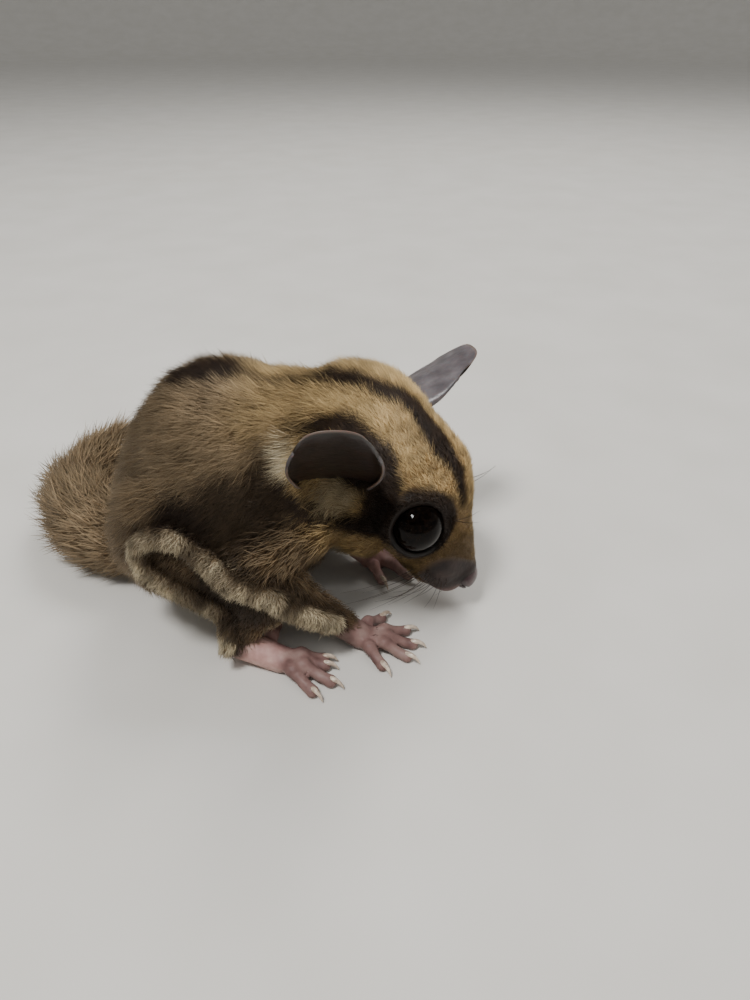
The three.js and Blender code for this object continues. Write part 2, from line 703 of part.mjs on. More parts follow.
// A box round one length of the tail, so that a cut across it doesn't reach the tail's other bends
function tailBox(from, to) {
  const box = new THREE.Box3();
  for (let i = 0; i <= 20; i++) box.expandByPoint(tailCurve.getPointAt(mix(from, to, i / 20)));
  box.expandByScalar(TAIL_RADIUS + LOCK.length);
  const size = box.getSize(V());
  const centre = box.getCenter(V());
  return solid(new THREE.BoxGeometry(size.x, size.y, size.z).translate(centre.x, centre.y, centre.z));
}

// Gliding membrane: its loose edge runs from the wrist up along the forearm, turns behind the elbow and
// comes down along the haunch to the ankle, and stands out from the coat as a soft ruffle

function membrane(side) {
  const { wrist, elbow, knee, ankle } = jointsOf(side);
  const off = (at, x, y, z) => at.clone().add(V(x, y * side, z));
  const route = [off(wrist, -1, 3, 2.4), off(elbow, 7, 3, -6.5), off(elbow, 3, 4, -2), off(elbow, -2.5, 4, 0.8),
    off(elbow, -7, 4, 4), off(elbow, -11.5, 3, 7), off(elbow, -16, 2, 5.5), off(elbow, -17, 3, 0.5),
    off(ankle, -9, 3, 9), off(ankle, -4.5, 3, 4.4), off(ankle, -1.4, 3, 1)];
  const root = smooth(...route.map((p) => ontoSurface(body, p, 14)));
  const pointAt = (u, v) => {
    const ahead = root.getTangentAt(u);
    const out = V(0, side, 0).addScaledVector(ahead, -ahead.y * side).normalize();
    const away = V().crossVectors(ahead, out).multiplyScalar(side);
    const reach = (1 + 2.2 * Math.sin(Math.PI * u) ** 0.6) * v - 1.5;
    const ripple = 0.6 * v * Math.sin(u * Math.PI * 9);
    return root.getPointAt(u).addScaledVector(out, 0.8 * reach).addScaledVector(away, 0.6 * reach + ripple);
  };
  return solid(sheet(pointAt, (u, v) => mix(3.2, 1.7, v), 20, 2));
}

// Limbs

for (const name of Object.keys(limbs)) addNode(glider, name, limbNode(name), finish.coat);

// Trunk and neck

const torsoBox = trunkForm().box.expandByScalar(SOFTNESS / 2);
addNode(glider, "torso", behind(trunkPiece(torsoBox, TRUNK_CELL), COLLARS.neck), finish.coat);
const neckBox = new THREE.Box3(V(-2, -TRUNK_WIDTH / 2 - 4, 0), V(22, TRUNK_WIDTH / 2 + 4, BACK_HEIGHT + 4));
const neck = behind(aheadOf(trunkPiece(neckBox, LIMB_CELL), COLLARS.neck), COLLARS.head);
addNode(glider, "neck", neck, finish.coat);

// Head, in its own frame

const headRoom = headLocal.box.clone().expandByScalar(6);
let head = aheadOf(trunkPiece(headRoom, FACE_CELL, fromHead), COLLARS.head).transform(toHead.elements);
for (const side of [1, -1])
  head = head.subtract(eyeClearing(side)).add(lidRing(side)).subtract(eyeball(side, GAP));
head = head.add(mouthPiece(LIP)).subtract(mouthPiece(LIP / 2));
head = head.subtract(solid(surfaceOf(grown(noseForm(), GAP), NOSE_CELL)));
addNode(headGroup, "head", head, finish.coat);
addNode(headGroup, "nose", solid(surfaceOf(noseForm(), NOSE_CELL)), finish.noseSkin);

for (const [name, side] of Object.entries(SIDES)) {
  addNode(headGroup, "eye_" + name, eyeball(side), finish.eye);
  const nearRoot = new THREE.Box3().setFromCenterAndSize(mirrored(EAR_AT, side), V(18, 16, 20));
  const scalp = solid(surfaceOf(seenFrom(grown(body, GAP), fromHead, nearRoot), LIMB_CELL, nearRoot));
  addNode(headGroup, "ear_" + name, earCup(name).subtract(scalp), finish.earSkin);
}

// Hands and feet

const hands = {};
for (const [name, side] of Object.entries(SIDES)) {
  const { wrist, ankle } = jointsOf(side);
  for (const [part, sizes, at, turn] of [["hand", HAND, wrist, -10], ["foot", FOOT, ankle, 14 * side]]) {
    const group = new THREE.Group();
    group.position.set(at.x, at.y, 0);
    group.rotation.z = degrees(turn);
    group.updateMatrix();
    glider.add(group);
    hands[part + "_" + name] = { group, whole: paw(sizes, -side) };
  }
}

const grownBody = grown(body, GAP);
for (const [name, { group, whole }] of Object.entries(hands)) {
  const box = new THREE.Box3(V(-5, -8, -1), V(6, 8, 12));
  const limb = solid(surfaceOf(seenFrom(grownBody, group.matrix, box), WRIST_CELL, box));
  addNode(group, name, whole.subtract(limb), finish.bareSkin);
}

for (const [name, range] of Object.entries(TAIL_PARTS)) {
  let piece = tailPiece(range);
  if (name === "tail_base") {
    const box = new THREE.Box3(V(-30, -10, -1), V(-8, 12, 20));
    piece = piece.subtract(solid(surfaceOf(seenFrom(grownBody, new THREE.Matrix4(), box), LIMB_CELL, box)));
  }
  addNode(glider, name, piece, finish.coat);
}

for (const [name, side] of Object.entries(SIDES)) {
  const box = new THREE.Box3(V(-24, side > 0 ? 2 : -30, -1), V(24, side > 0 ? 30 : -8, 32));
  const skin = solid(surfaceOf(seenFrom(grown(body, 1.7 * GAP), new THREE.Matrix4(), box), LIMB_CELL, box));
  addNode(glider, "membrane_" + name, membrane(side).subtract(skin), finish.paleCoat);
}

// The part's origin is on the floor, below the middle of its box

const extent = new THREE.Box3().setFromObject(glider, true);
const middle = extent.getCenter(V());
glider.position.set(-middle.x, -middle.y, 0);

export default glider;
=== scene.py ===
"""Looks of a young sugar glider, life size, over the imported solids.

It has a skin, a coat, eyes, a nose, ears, claws and whiskers. The animal's forms are laid out in millimetres
in the body's frame, in which it faces +X and its left is +Y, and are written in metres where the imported
solids are.
"""

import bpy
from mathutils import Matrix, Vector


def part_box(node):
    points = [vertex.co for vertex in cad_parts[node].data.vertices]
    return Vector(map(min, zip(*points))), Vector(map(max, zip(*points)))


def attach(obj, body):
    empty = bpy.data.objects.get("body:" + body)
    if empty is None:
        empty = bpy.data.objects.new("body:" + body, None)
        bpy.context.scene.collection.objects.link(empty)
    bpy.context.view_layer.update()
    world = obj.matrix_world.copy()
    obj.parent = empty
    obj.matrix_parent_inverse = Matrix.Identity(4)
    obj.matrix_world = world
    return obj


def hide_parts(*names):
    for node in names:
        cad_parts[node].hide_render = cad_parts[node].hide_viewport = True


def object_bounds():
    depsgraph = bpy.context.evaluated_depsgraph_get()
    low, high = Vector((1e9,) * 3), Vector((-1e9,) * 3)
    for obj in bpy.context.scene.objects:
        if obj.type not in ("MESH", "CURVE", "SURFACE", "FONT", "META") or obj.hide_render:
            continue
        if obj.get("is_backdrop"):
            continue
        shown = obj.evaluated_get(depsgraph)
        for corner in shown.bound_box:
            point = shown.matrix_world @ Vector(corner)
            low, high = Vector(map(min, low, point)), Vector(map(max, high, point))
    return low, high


bl_info = {
    "name": "Sugar glider",
    "version": (1, 0, 0),
    "blender": (4, 5, 0),
    "location": "3D View > Sidebar > Glider",
    "description": "Builds the skin and coat of a crouched young sugar glider",
    "category": "Object",
}

import math

import bmesh
import bpy
import numpy as np
from bpy.props import FloatProperty, FloatVectorProperty, PointerProperty
from mathutils import Vector, kdtree

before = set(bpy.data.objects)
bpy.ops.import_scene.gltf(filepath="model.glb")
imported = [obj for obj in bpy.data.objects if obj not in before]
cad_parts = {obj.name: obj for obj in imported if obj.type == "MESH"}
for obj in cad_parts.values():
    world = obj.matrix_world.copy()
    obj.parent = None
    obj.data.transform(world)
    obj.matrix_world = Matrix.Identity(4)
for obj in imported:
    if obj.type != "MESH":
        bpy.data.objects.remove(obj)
CAD_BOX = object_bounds()

MM = 0.001
SIDES = {"right": -1, "left": 1}


# Small mathematics


def vec(*numbers):
    return np.array(numbers, float)


def unit(v):
    return v / np.maximum(np.linalg.norm(v, axis=-1, keepdims=True), 1e-12)


def mix(a, b, share):
    return a + (b - a) * share


def step_up(low, high, value):
    """0 below low, 1 above high and smooth between them."""
    share = np.clip((value - low) / (high - low), 0, 1)
    return share * share * (3 - 2 * share)


def within(distance, reach, soft):
    """1 where a distance is inside a reach, fading to 0 over a soft edge."""
    return 1 - step_up(reach - soft / 2, reach + soft / 2, distance)


def ripple(points, wavelength, seed):
    """Smooth noise from about -1 to 1: a sum of waves in seeded directions."""
    draw = np.random.default_rng(seed)
    waves = unit(draw.normal(size=(9, 3))) * (2 * np.pi / wavelength) * draw.uniform(0.6, 1.5, (9, 1))
    return np.sin(points @ waves.T + draw.uniform(0, 7, 9)).mean(1) * 1.8


def spline(points, count):
    """Evenly spaced points along a centripetal curve through the given ones."""
    p = np.array(points, float)
    p = np.vstack([2 * p[0] - p[1], p, 2 * p[-1] - p[-2]])
    knots = np.concatenate([[0], np.cumsum(np.linalg.norm(np.diff(p, axis=0), axis=1) ** 0.5)])
    fine = []
    for i in range(1, len(p) - 2):
        k = knots[i - 1:i + 3]
        for t in np.linspace(k[1], k[2], 24, endpoint=i == len(p) - 3):
            a = [mix(p[i + j - 1], p[i + j], (t - k[j]) / (k[j + 1] - k[j])) for j in range(3)]
            b = [mix(a[j], a[j + 1], (t - k[j]) / (k[j + 2] - k[j])) for j in range(2)]
            fine.append(mix(b[0], b[1], (t - k[1]) / (k[2] - k[1])))
    fine = np.array(fine)
    along = np.concatenate([[0], np.cumsum(np.linalg.norm(np.diff(fine, axis=0), axis=1))])
    return np.stack([np.interp(np.linspace(0, along[-1], count), along, fine[:, i]) for i in range(3)], 1)


def nearest_on(line, points):
    """For each point: its distance from a polyline, the share of the line passed there and the heading."""
    best = np.full(len(points), 1e9)
    share = np.zeros(len(points))
    heading = np.zeros((len(points), 3))
    for i, (a, b) in enumerate(zip(line[:-1], line[1:])):
        along = b - a
        t = np.clip((points - a) @ along / max(along @ along, 1e-12), 0, 1)
        distance = np.linalg.norm(points - a - t[:, None] * along, axis=1)
        closer = distance < best
        best[closer] = distance[closer]
        share[closer] = (i + t[closer]) / (len(line) - 1)
        heading[closer] = unit(along)
    return best, share, heading


# The body's frame, and the head's: +X to the nose, +Z to the crown, origin in the middle of the brain case

SKULL_AT = vec(22.1, -1.5, 24.2)
HEAD_TURN = np.radians([-19, 45, -4])  # yaw, pitch, roll
EYE_RADIUS = 4.3
EYE_AT = vec(7.2, 8.5, 2.3)
LOOK = unit(vec(0.3, 0.83, 0.46))
EAR_AT = vec(-6.5, 13, 0.4)
HEAD_WIDTH = 29
NOSE_REACH = 24.5
NOSE_TIP = vec(NOSE_REACH, 0, -2.3)
BACK_HEIGHT = 42.8
FLANK = 19.5


def turning(yaw, pitch, roll):
    cy, sy, cp, sp, cr, sr = (f(a) for a in (yaw, pitch, roll) for f in (math.cos, math.sin))
    about_z = np.array([[cy, -sy, 0], [sy, cy, 0], [0, 0, 1]])
    about_y = np.array([[cp, 0, sp], [0, 1, 0], [-sp, 0, cp]])
    about_x = np.array([[1, 0, 0], [0, cr, -sr], [0, sr, cr]])
    return about_z @ about_y @ about_x


HEAD_AXES = turning(*HEAD_TURN)


def mirrored(point, side):
    return point * vec(1, side, 1)


def on_right(points):
    """Points of either side, folded on to the right one."""
    return np.stack([points[:, 0], -np.abs(points[:, 1]), points[:, 2]], 1)


def from_eye(points):
    """How far points of the head's frame are from the middle of the nearer eye."""
    return np.linalg.norm(on_right(points) - mirrored(EYE_AT, -1), axis=1)


def to_head(points):
    return (points - SKULL_AT) @ HEAD_AXES


def from_head(points):
    return points @ HEAD_AXES.T + SKULL_AT


def middle_of(node):
    low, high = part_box(node)
    return np.array((low + high) / 2) / MM


ORIGIN = middle_of("eye_right") - from_head(mirrored(EYE_AT, -1))


def placed(points):
    """From millimetres in the body's frame to metres in the part's."""
    return (points + ORIGIN) * MM


# Implicit forms: a distance that is negative inside, with the box that holds the form


class Form:
    def __init__(self, distance, low, high):
        self.distance, self.low, self.high = distance, np.asarray(low, float), np.asarray(high, float)


def egg(centre, radii, coat=0.0):
    radii = np.asarray(radii, float) - coat

    def distance(p):
        q = (p - centre) / radii
        scaled = np.linalg.norm(q, axis=-1)
        return scaled * (scaled - 1) / np.maximum(np.linalg.norm(q / radii, axis=-1), 1e-9)

    return Form(distance, centre - radii, centre + radii)


def ball(centre, radius):
    return egg(centre, vec(radius, radius, radius))


def taper(start, end, start_radius, end_radius):
    along = end - start

    def distance(p):
        share = np.clip((p - start) @ along / (along @ along), 0, 1)
        radius = mix(start_radius, end_radius, share)
        return np.linalg.norm(p - start - share[..., None] * along, axis=-1) - radius

    ends = np.stack([start - start_radius, start + start_radius, end - end_radius, end + end_radius])
    return Form(distance, ends.min(0), ends.max(0))


def on_head(form):
    corners = np.array([[x, y, z] for x in (0, 1) for y in (0, 1) for z in (0, 1)])
    box = from_head(form.low + corners * (form.high - form.low))
    return Form(lambda p: form.distance(to_head(p)), box.min(0), box.max(0))


def soft_min(a, b, reach):
    near = np.maximum(reach - np.abs(a - b), 0) / reach
    return np.minimum(a, b) - near * near * reach / 4


def soft_max(a, b, reach):
    return -soft_min(-a, -b, reach)


class Body:
    """Groups of forms that run into one another, and what is cut from them."""

    FAR = 50.0

    def __init__(self):
        self.groups = {}
        self.cuts = []

    def add(self, group, reach, *forms):
        self.groups.setdefault(group, []).extend((form, reach) for form in forms)

    def cut(self, reach, *forms):
        self.cuts.extend((form, reach) for form in forms)

    def on_grid(self, axes):
        values = np.full([len(a) for a in axes], self.FAR)
        for forms in self.groups.values():
            for form, reach in forms:
                self._meet(values, axes, form, reach, soft_min, form.distance)
        for form, reach in self.cuts:
            self._meet(values, axes, form, reach, soft_max, lambda p, f=form: -f.distance(p))
        return values

    def _meet(self, values, axes, form, reach, join, distance):
        margin = reach + 2
        spans = []
        for i, a in enumerate(axes):
            spans.append(slice(*np.searchsorted(a, (form.low[i] - margin, form.high[i] + margin))))
        local = np.stack(np.meshgrid(*(a[s] for a, s in zip(axes, spans)), indexing="ij"), -1)
        if local.size:
            values[tuple(spans)] = join(values[tuple(spans)], distance(local), reach)

    def at(self, points, only=None):
        values = np.full(len(points), self.FAR)
        for name, forms in self.groups.items():
            if only and name != only:
                continue
            for form, reach in forms:
                near = self._near(points, form, reach)
                values[near] = soft_min(values[near], form.distance(points[near]), reach)
        for form, reach in [] if only else self.cuts:
            near = self._near(points, form, reach)
            values[near] = soft_max(values[near], -form.distance(points[near]), reach)
        return values

    def _near(self, points, form, reach):
        margin = reach + 8
        return np.flatnonzero(((points > form.low - margin) & (points < form.high + margin)).all(1))

    def slope(self, points, width=0.05):
        ways = width * np.eye(3)
        return np.stack([(self.at(points + way) - self.at(points - way)) / (2 * width) for way in ways], 1)

    def snapped(self, points, cell, turns=2):
        """Points drawn on to the surface, and the normals there."""
        points = points.copy()
        for _ in range(turns):
            slope = self.slope(points)
            steepness = np.maximum((slope ** 2).sum(1), 0.15)
            move = -slope * (self.at(points) / steepness)[:, None]
            length = np.linalg.norm(move, axis=1, keepdims=True)
            points += move * np.minimum(1, 0.6 * cell / np.maximum(length, 1e-9))
        return points, unit(self.slope(points))


def net(body, low, high, cell):
    """The surface as quads, with one vertex in each grid cell that it crosses."""
    axes = [np.arange(a, b + cell, cell) for a, b in zip(low, high)]
    values = body.on_grid(axes)
    inside = values < 0
    count = [n - 1 for n in values.shape]
    corners = [(i, j, k) for i in (0, 1) for j in (0, 1) for k in (0, 1)]
    full = sum(inside[i:count[0] + i, j:count[1] + j, k:count[2] + k].astype(np.int8) for i, j, k in corners)
    cells = np.argwhere((full > 0) & (full < 8))
    index = np.full(count, -1)
    index[tuple(cells.T)] = np.arange(len(cells))
    total = np.zeros((len(cells), 3))
    crossings = np.zeros(len(cells))
    for axis in range(3):
        for corner in [c for c in corners if c[axis] == 0]:
            start = cells + corner
            end = start + np.eye(3, dtype=int)[axis]
            a, b = values[tuple(start.T)], values[tuple(end.T)]
            crossed = (a < 0) != (b < 0)
            at = start.astype(float)
            at[:, axis] += a / np.where(a == b, 1, a - b)
            total[crossed] += at[crossed]
            crossings += crossed
    vertices = total / crossings[:, None] * cell + low
    quads = []
    for axis in range(3):
        u, v = (axis + 1) % 3, (axis + 2) % 3
        here = np.moveaxis(inside, (axis, u, v), (0, 1, 2))
        ids = np.moveaxis(index, (axis, u, v), (0, 1, 2))
        for rising in (True, False):
            i, j, k = np.nonzero((here[:-1, 1:-1, 1:-1] == rising) & (here[1:, 1:-1, 1:-1] != rising))
            ring = [ids[i, j + a, k + b] for a, b in ((0, 0), (1, 0), (1, 1), (0, 1))]
            quads.append(np.stack(ring if rising else ring[::-1], 1))
    return vertices, np.vstack(quads)


def halved(vertices, quads):
    """Quads as triangles, cut along their shorter diagonal."""
    a, b, c, d = quads.T
    across, down = (np.linalg.norm(vertices[i] - vertices[j], axis=1) for i, j in ((a, c), (b, d)))
    one = np.where(across < down, [a, b, c], [b, c, d]).T
    two = np.where(across < down, [a, c, d], [b, d, a]).T
    return np.vstack([one, two])


def refined(vertices, triangles, marked):
    """The marked triangles split in four, and their neighbours split to meet them without a gap."""
    ends = np.sort(triangles[:, [[0, 1], [1, 2], [2, 0]]], axis=2)
    keys, place = np.unique(ends[..., 0] * len(vertices) + ends[..., 1], return_inverse=True)
    place = place.reshape(-1, 3)
    split = np.zeros(len(keys), bool)
    split[place[marked]] = True
    number = np.full(len(keys), -1)
    number[split] = len(vertices) + np.arange(split.sum())
    pairs = np.stack([keys // len(vertices), keys % len(vertices)], 1)[split]
    vertices = np.vstack([vertices, vertices[pairs].mean(1)])
    middles = number[place]
    cut = middles >= 0
    count = cut.sum(1)
    turn = np.where(count == 1, cut.argmax(1), np.where(count == 2, (cut.argmin(1) + 1) % 3, 0))
    order = (np.arange(3) + turn[:, None]) % 3
    corners = np.take_along_axis(triangles, order, 1)
    middles = np.take_along_axis(middles, order, 1)
    faces = [triangles[count == 0]]
    patterns = {1: ["a0c", "0bc"], 2: ["0b1", "a01", "a1c"], 3: ["a02", "0b1", "21c", "012"]}
    for cuts, pattern in patterns.items():
        these = count == cuts
        named = dict(zip("abc012", np.hstack([corners[these], middles[these]]).T))
        faces += [np.stack([named[letter] for letter in face], 1) for face in pattern]
    return vertices, np.vstack(faces)


# The animal's forms. Each is smaller than the solid's by the depth of the coat there

LID_OPENING = 3.95
JOINTS = {
    "shoulder": vec(9, 11.5, 21),
    "elbow": vec(2, 18, 17.5),
    "wrist": vec(15, 15.5, 4.4),
    "hip": vec(-11, 11, 21),
    "knee": vec(4, 17.6, 12.5),
    "ankle": vec(-1.5, 19.2, 4.2),
}
LEFT_WRIST = vec(17, 4.5, 4.4)
TAIL_LIE = 6.9  # height of the tail's middle line where it lies on the floor
TAIL = spline([(-16, 0, 9.5), (-24, 2, TAIL_LIE + 0.4), (-33, 8, TAIL_LIE), (-37.5, 18, TAIL_LIE),
               (-34.5, 29, TAIL_LIE), (-24, 36.5, TAIL_LIE), (-8, 39.5, TAIL_LIE), (6, 38, TAIL_LIE - 0.2),
               (15, 34.5, TAIL_LIE - 1), (21, 30, TAIL_LIE - 2.6)], 61)
# A palm or sole has a half width, a height and the wrist's or ankle's height. A digit has its angle in
# degrees from straight ahead, its length, and how far ahead of the wrist or ankle it begins
HAND = {
    "palm": (2.7, 1.5, 3.4), "thickness": 0.95,
    "digits": [(52, 4.6, 2.4), (24, 5.6, 4.6), (2, 6.2, 5.0), (-18, 6.2, 4.8), (-44, 5.2, 3.4)],
}
FOOT = {
    "palm": (2.9, 1.7, 3.2), "thickness": 1.05,
    "digits": [(100, 5.0, 4.2), (16, 5.2, 8.2), (6, 5.4, 8.4), (-12, 7.4, 8.4), (-30, 6.8, 7.6)],
}
CLAW_LENGTH = 2.3
CLAWLESS_ANGLE = 90  # a digit set farther aside than this, the hind foot's first, has no claw
PAD_SINK = 0.25
FLOOR = 0.03  # how far above the floor the pads' flats lie


def joints_of(side):
    joints = {name: mirrored(at, side) for name, at in JOINTS.items()}
    if side > 0:
        joints["wrist"] = LEFT_WRIST
    return joints


def head_forms():
    half = HEAD_WIDTH / 2
    yield egg(vec(-6, 0, 1.4), vec(13.6, half - 0.8, 11.7), 1.7)
    yield egg(vec(2.5, 0, 2.6), vec(11, 10, 9.1), 1.0)
    yield taper(vec(4, 0, 2.8), vec(NOSE_REACH - 4, 0, -2), 8.6, 2.75)
    yield taper(vec(2, 0, -6.8), vec(NOSE_REACH - 6, 0, -7.4), 4.7, 1.6)
    for side in (1, -1):
        yield egg(vec(-1, 7.6 * side, -5.8), vec(10, 6.4, 7), 1.2)
        yield egg(vec(NOSE_REACH - 6.2, 2.5 * side, -4.5), vec(4.4, 2.9, 2.8), 0.2)
        yield egg(vec(NOSE_REACH - 12, 3.6 * side, -2.6), vec(7, 4.2, 4.4), 0.5)
        yield egg(mirrored(EYE_AT, side) + vec(-0.8, -0.7 * side, 0), vec(5.8, 4.9, 5.6), 0.6)


def eye_axes(side):
    """The way that an eye looks, the way to its front corner and the way up across it."""
    out = mirrored(LOOK, side)
    corner = unit(np.cross(mirrored(vec(-0.42, 0, 0.9), 1), out)) * side
    return out, corner, np.cross(corner, out) * side


def lid_mound(side):
    """A low swelling of the skin round the opening of the lids."""
    out, corner, rise = eye_axes(side)
    centre = mirrored(EYE_AT, side) + out * math.sqrt(EYE_RADIUS ** 2 - LID_OPENING ** 2)

    def distance(p):
        q = p - centre
        return np.hypot(np.hypot(q @ corner, q @ rise) - LID_OPENING - 0.7, q @ out + 0.35) - 0.62

    return Form(distance, centre - 6.5, centre + 6.5)


def paw_pieces(sizes, at, turn, inward):
    """The rays of a palm or sole and the bones of its digits, as tapers, and the claws' middle lines."""
    width, height, rise = sizes["palm"]
    thickness = sizes["thickness"]
    sole = height - PAD_SINK
    tip_height = thickness * 1.05 - PAD_SINK
    c, s = math.cos(turn), math.sin(turn)
    rays, bones, claws = [], [], []
    for angle, reach, root in sizes["digits"]:
        heading = math.radians(angle) * inward
        ahead = (math.cos(heading), math.sin(heading))
        spread = width * 0.75 * math.sin(heading)

        def on_digit(far, z):
            x, y = root + far * ahead[0], spread + far * ahead[1]
            return vec(at[0] + c * x - s * y, at[1] + s * x + c * y, z)

        line = [on_digit(-1.4, sole), on_digit(reach * 0.35, sole + 0.7),
                on_digit(reach * 0.75, tip_height + 0.25), on_digit(reach, tip_height)]
        radii = [thickness * r for r in (1.0, 1.05, 0.8, 0.98)]
        wrist = vec(at[0] - 0.2 * s * spread, at[1] + 0.2 * c * spread, rise)
        rays.append(taper(wrist, on_digit(-1, sole), height * 0.95, height * 0.85))
        bones += [taper(line[i], line[i + 1], radii[i], radii[i + 1]) for i in range(3)]
        if angle < CLAWLESS_ANGLE:
            claws.append([on_digit(reach - 0.6, tip_height + 0.3),
                          on_digit(reach + CLAW_LENGTH * 0.3, tip_height + 0.75),
                          on_digit(reach + CLAW_LENGTH * 0.75, tip_height + 0.35),
                          on_digit(reach + CLAW_LENGTH, 0.3)])
    return rays, bones, claws


def paws():
    for name, side in SIDES.items():
        joints = joints_of(side)
        yield "hand_" + name, paw_pieces(HAND, joints["wrist"], math.radians(-10), -side)
        yield "foot_" + name, paw_pieces(FOOT, joints["ankle"], math.radians(14 * side), -side)


def fold_route(side):
    """Where the loose edge of the gliding membrane lies on the body, from wrist to ankle."""
    wrist, elbow, ankle = (joints_of(side)[name] for name in ("wrist", "elbow", "ankle"))
    offsets = [(wrist, -1, 3, 2.4), (elbow, 7, 3, -6.5), (elbow, 3, 4, -2), (elbow, -2.5, 4, 0.8),
               (elbow, -7, 4, 4), (elbow, -11.5, 3, 7), (elbow, -16, 2, 5.5), (elbow, -17, 3, 0.5),
               (ankle, -9, 3, 9), (ankle, -4.5, 3, 4.4), (ankle, -1.4, 3, 1)]
    return np.array([at + vec(x, y * side, z) for at, x, y, z in offsets])


def core_radius(share):
    """Half the thickness of the tail under its long coat."""
    root = mix(2.6, 3.4, np.sin(np.minimum(share / 0.22, 1) * np.pi / 2))
    return root * np.sqrt(np.maximum(1 - share ** 7, 0.02))


def chain(line, radius):
    return [taper(a, b, radius, radius) for a, b in zip(line[:-1], line[1:])]


FOLDS = {}  # the membrane's edge on each side, by the side's sign, filled by body_forms


def body_forms():
    body = Body()
    body.add("trunk", 6, egg(vec(4.5, 0, 22.5), vec(13.5, FLANK - 3, 17), 2.3),
             egg(vec(-4, 0, BACK_HEIGHT - 21), vec(16.5, FLANK - 1, 21), 2.7),
             egg(vec(-11, 0, 17), vec(12, FLANK - 4, 15), 2.7))
    body.add("trunk", 3.2, egg(vec(9.3, 0, 26.4), vec(10, 15.6, 14), 2.2))
    body.add("head", 3, *(on_head(form) for form in head_forms()))
    for name, side in SIDES.items():
        j = joints_of(side)
        body.add("arm_" + name, 3.2, taper(j["shoulder"], j["elbow"], 4.7, 3.1),
                 taper(j["elbow"], j["wrist"], 2.9, 1.7))
        body.add("leg_" + name, 3.2, egg(vec(-8.5, 12.2 * side, 18.5), vec(12.5, 7.4, 13), 2.1),
                 taper(j["hip"], j["knee"], 5.9, 3.4), taper(j["knee"], j["ankle"], 3.2, 2.0))
    steps = 24
    tail = spline(TAIL, steps + 1)
    for i in range(steps):
        radii = (core_radius(j / steps) for j in (i, i + 1))
        body.add("tail", 0.8, taper(tail[i], tail[i + 1], *radii))
    for side in (1, -1):
        line, out = body.snapped(fold_route(side), 8, 5)
        FOLDS[side] = spline(line + out * 1.15, 26)
        body.add("fold", 1.9, *chain(FOLDS[side], 0.8))
    for name, (rays, bones, _) in paws():
        body.add("paw", 1.3, *rays)
        body.add("paw", 0.45, *bones)
    for side in (1, -1):
        centre, out = mirrored(EYE_AT, side), mirrored(LOOK, side)
        body.cut(1.2, on_head(ball(centre + out * 5.4, 5.2)))
        body.add("lid", 0.9, on_head(lid_mound(side)))
        body.cut(0.15, on_head(ball(centre, EYE_RADIUS + 0.04)))
    return body


def mouth_line(body):
    """The parting of the lips, on the skin, from one corner round the front to the other."""
    guess = []
    for i in range(-3, 4):
        back = abs(i)
        guess.append((NOSE_REACH - 3.2 - 3.4 * back, 3.2 * np.sign(i) * back ** 0.4, -6.3 - 0.35 * back))
    line, out = body.snapped(from_head(np.array(guess)), 8, 6)
    return spline(line, 31), spline(line - out * 0.35, 31)


BODY = body_forms()
MOUTH, LIP_CORE = mouth_line(BODY)
BODY.add("head", 0.5, *chain(LIP_CORE, 0.62))
BODY.cut(0.25, *chain(MOUTH, 0.2))
BODY.cut(0.05, Form(lambda p: p[..., 2] - FLOOR, vec(-60, -60, -9), vec(60, 60, FLOOR)))


# Meshes


def linked(name, data):
    """A new object at the origin, in the scene."""
    made = bpy.data.objects.new(name, data)
    bpy.context.scene.collection.objects.link(made)
    return made


def mesh_piece(name, vertices, faces, material, attributes=None):
    """An object from millimetre vertices and an array of faces with the same number of corners."""
    mesh = bpy.data.meshes.new(name)
    corners = faces.shape[1]
    mesh.vertices.add(len(vertices))
    mesh.vertices.foreach_set("co", placed(vertices).astype(np.float32).ravel())
    mesh.loops.add(faces.size)
    mesh.loops.foreach_set("vertex_index", faces.astype(np.int32).ravel())
    mesh.polygons.add(len(faces))
    mesh.polygons.foreach_set("loop_start", np.arange(0, faces.size, corners, dtype=np.int32))
    mesh.update(calc_edges=True)
    mesh.polygons.foreach_set("use_smooth", np.full(len(mesh.polygons), True))
    for key, colours in (attributes or {}).items():
        layer = mesh.attributes.new(key, "FLOAT_COLOR", "POINT")
        layer.data.foreach_set("color", colours.astype(np.float32).ravel())
    mesh.materials.append(material)
    return linked(name, mesh)


def settle(piece, slot, *nodes):
    """The piece rides on the one body and stands for the nodes it dresses, which it hides. The slot is not
    used.
    """
    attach(piece, "root")
    if nodes:
        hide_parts(*nodes)


# Markings: one function gives skin and coat their dark, pale and golden parts and the bare skin


def on_skin(points):
    """Points of the head's right side, drawn on to the skin."""
    return to_head(BODY.snapped(from_head(np.array(points, float)), 6, 6)[0])


STRIPE = np.array([  # places along the head, the crown stripe's middle (+ to the left) and its half width
    (-17.5, -15.5, -13.2, -10.5, -7.9, -4.8, -1.8, 0.9, 3.5, 6.7, 9.2),
    (-2.2, -3.3, -3.3, -3.0, -1.4, -0.9, -1.5, -2.5, -3.2, -3.5, -3.6),
    (1.8, 1.8, 1.8, 1.9, 2.1, 2.3, 2.4, 2.3, 1.7, 1.2, 0.8)])
EAR_BAND = on_skin([(1, -11, 1.2), (-0.9, -10.9, 4.2), (-2.8, -10.9, 6), (-5.5, -10.8, 6.9), (-8.2, -10.6, 7),
                    (-11.5, -10.2, 5.8), (-15.1, -10.6, 1.6), (-17.5, -12, -2)])
CHEEK_BAND = on_skin([(-11.4, -17.1, -6.6), (-8.6, -16.6, -5.8), (-6.3, -16.6, -5.5), (-3.6, -15.3, -4.4),
                      (-0.2, -12.8, -3.6), (2.3, -11.6, -2.2), (4.5, -11.5, -0.3)])
PALE_SPOT = on_skin([(-14.9, -13.5, -2.2), (-14, -14.3, -3), (-12.6, -15.5, -4.1)])
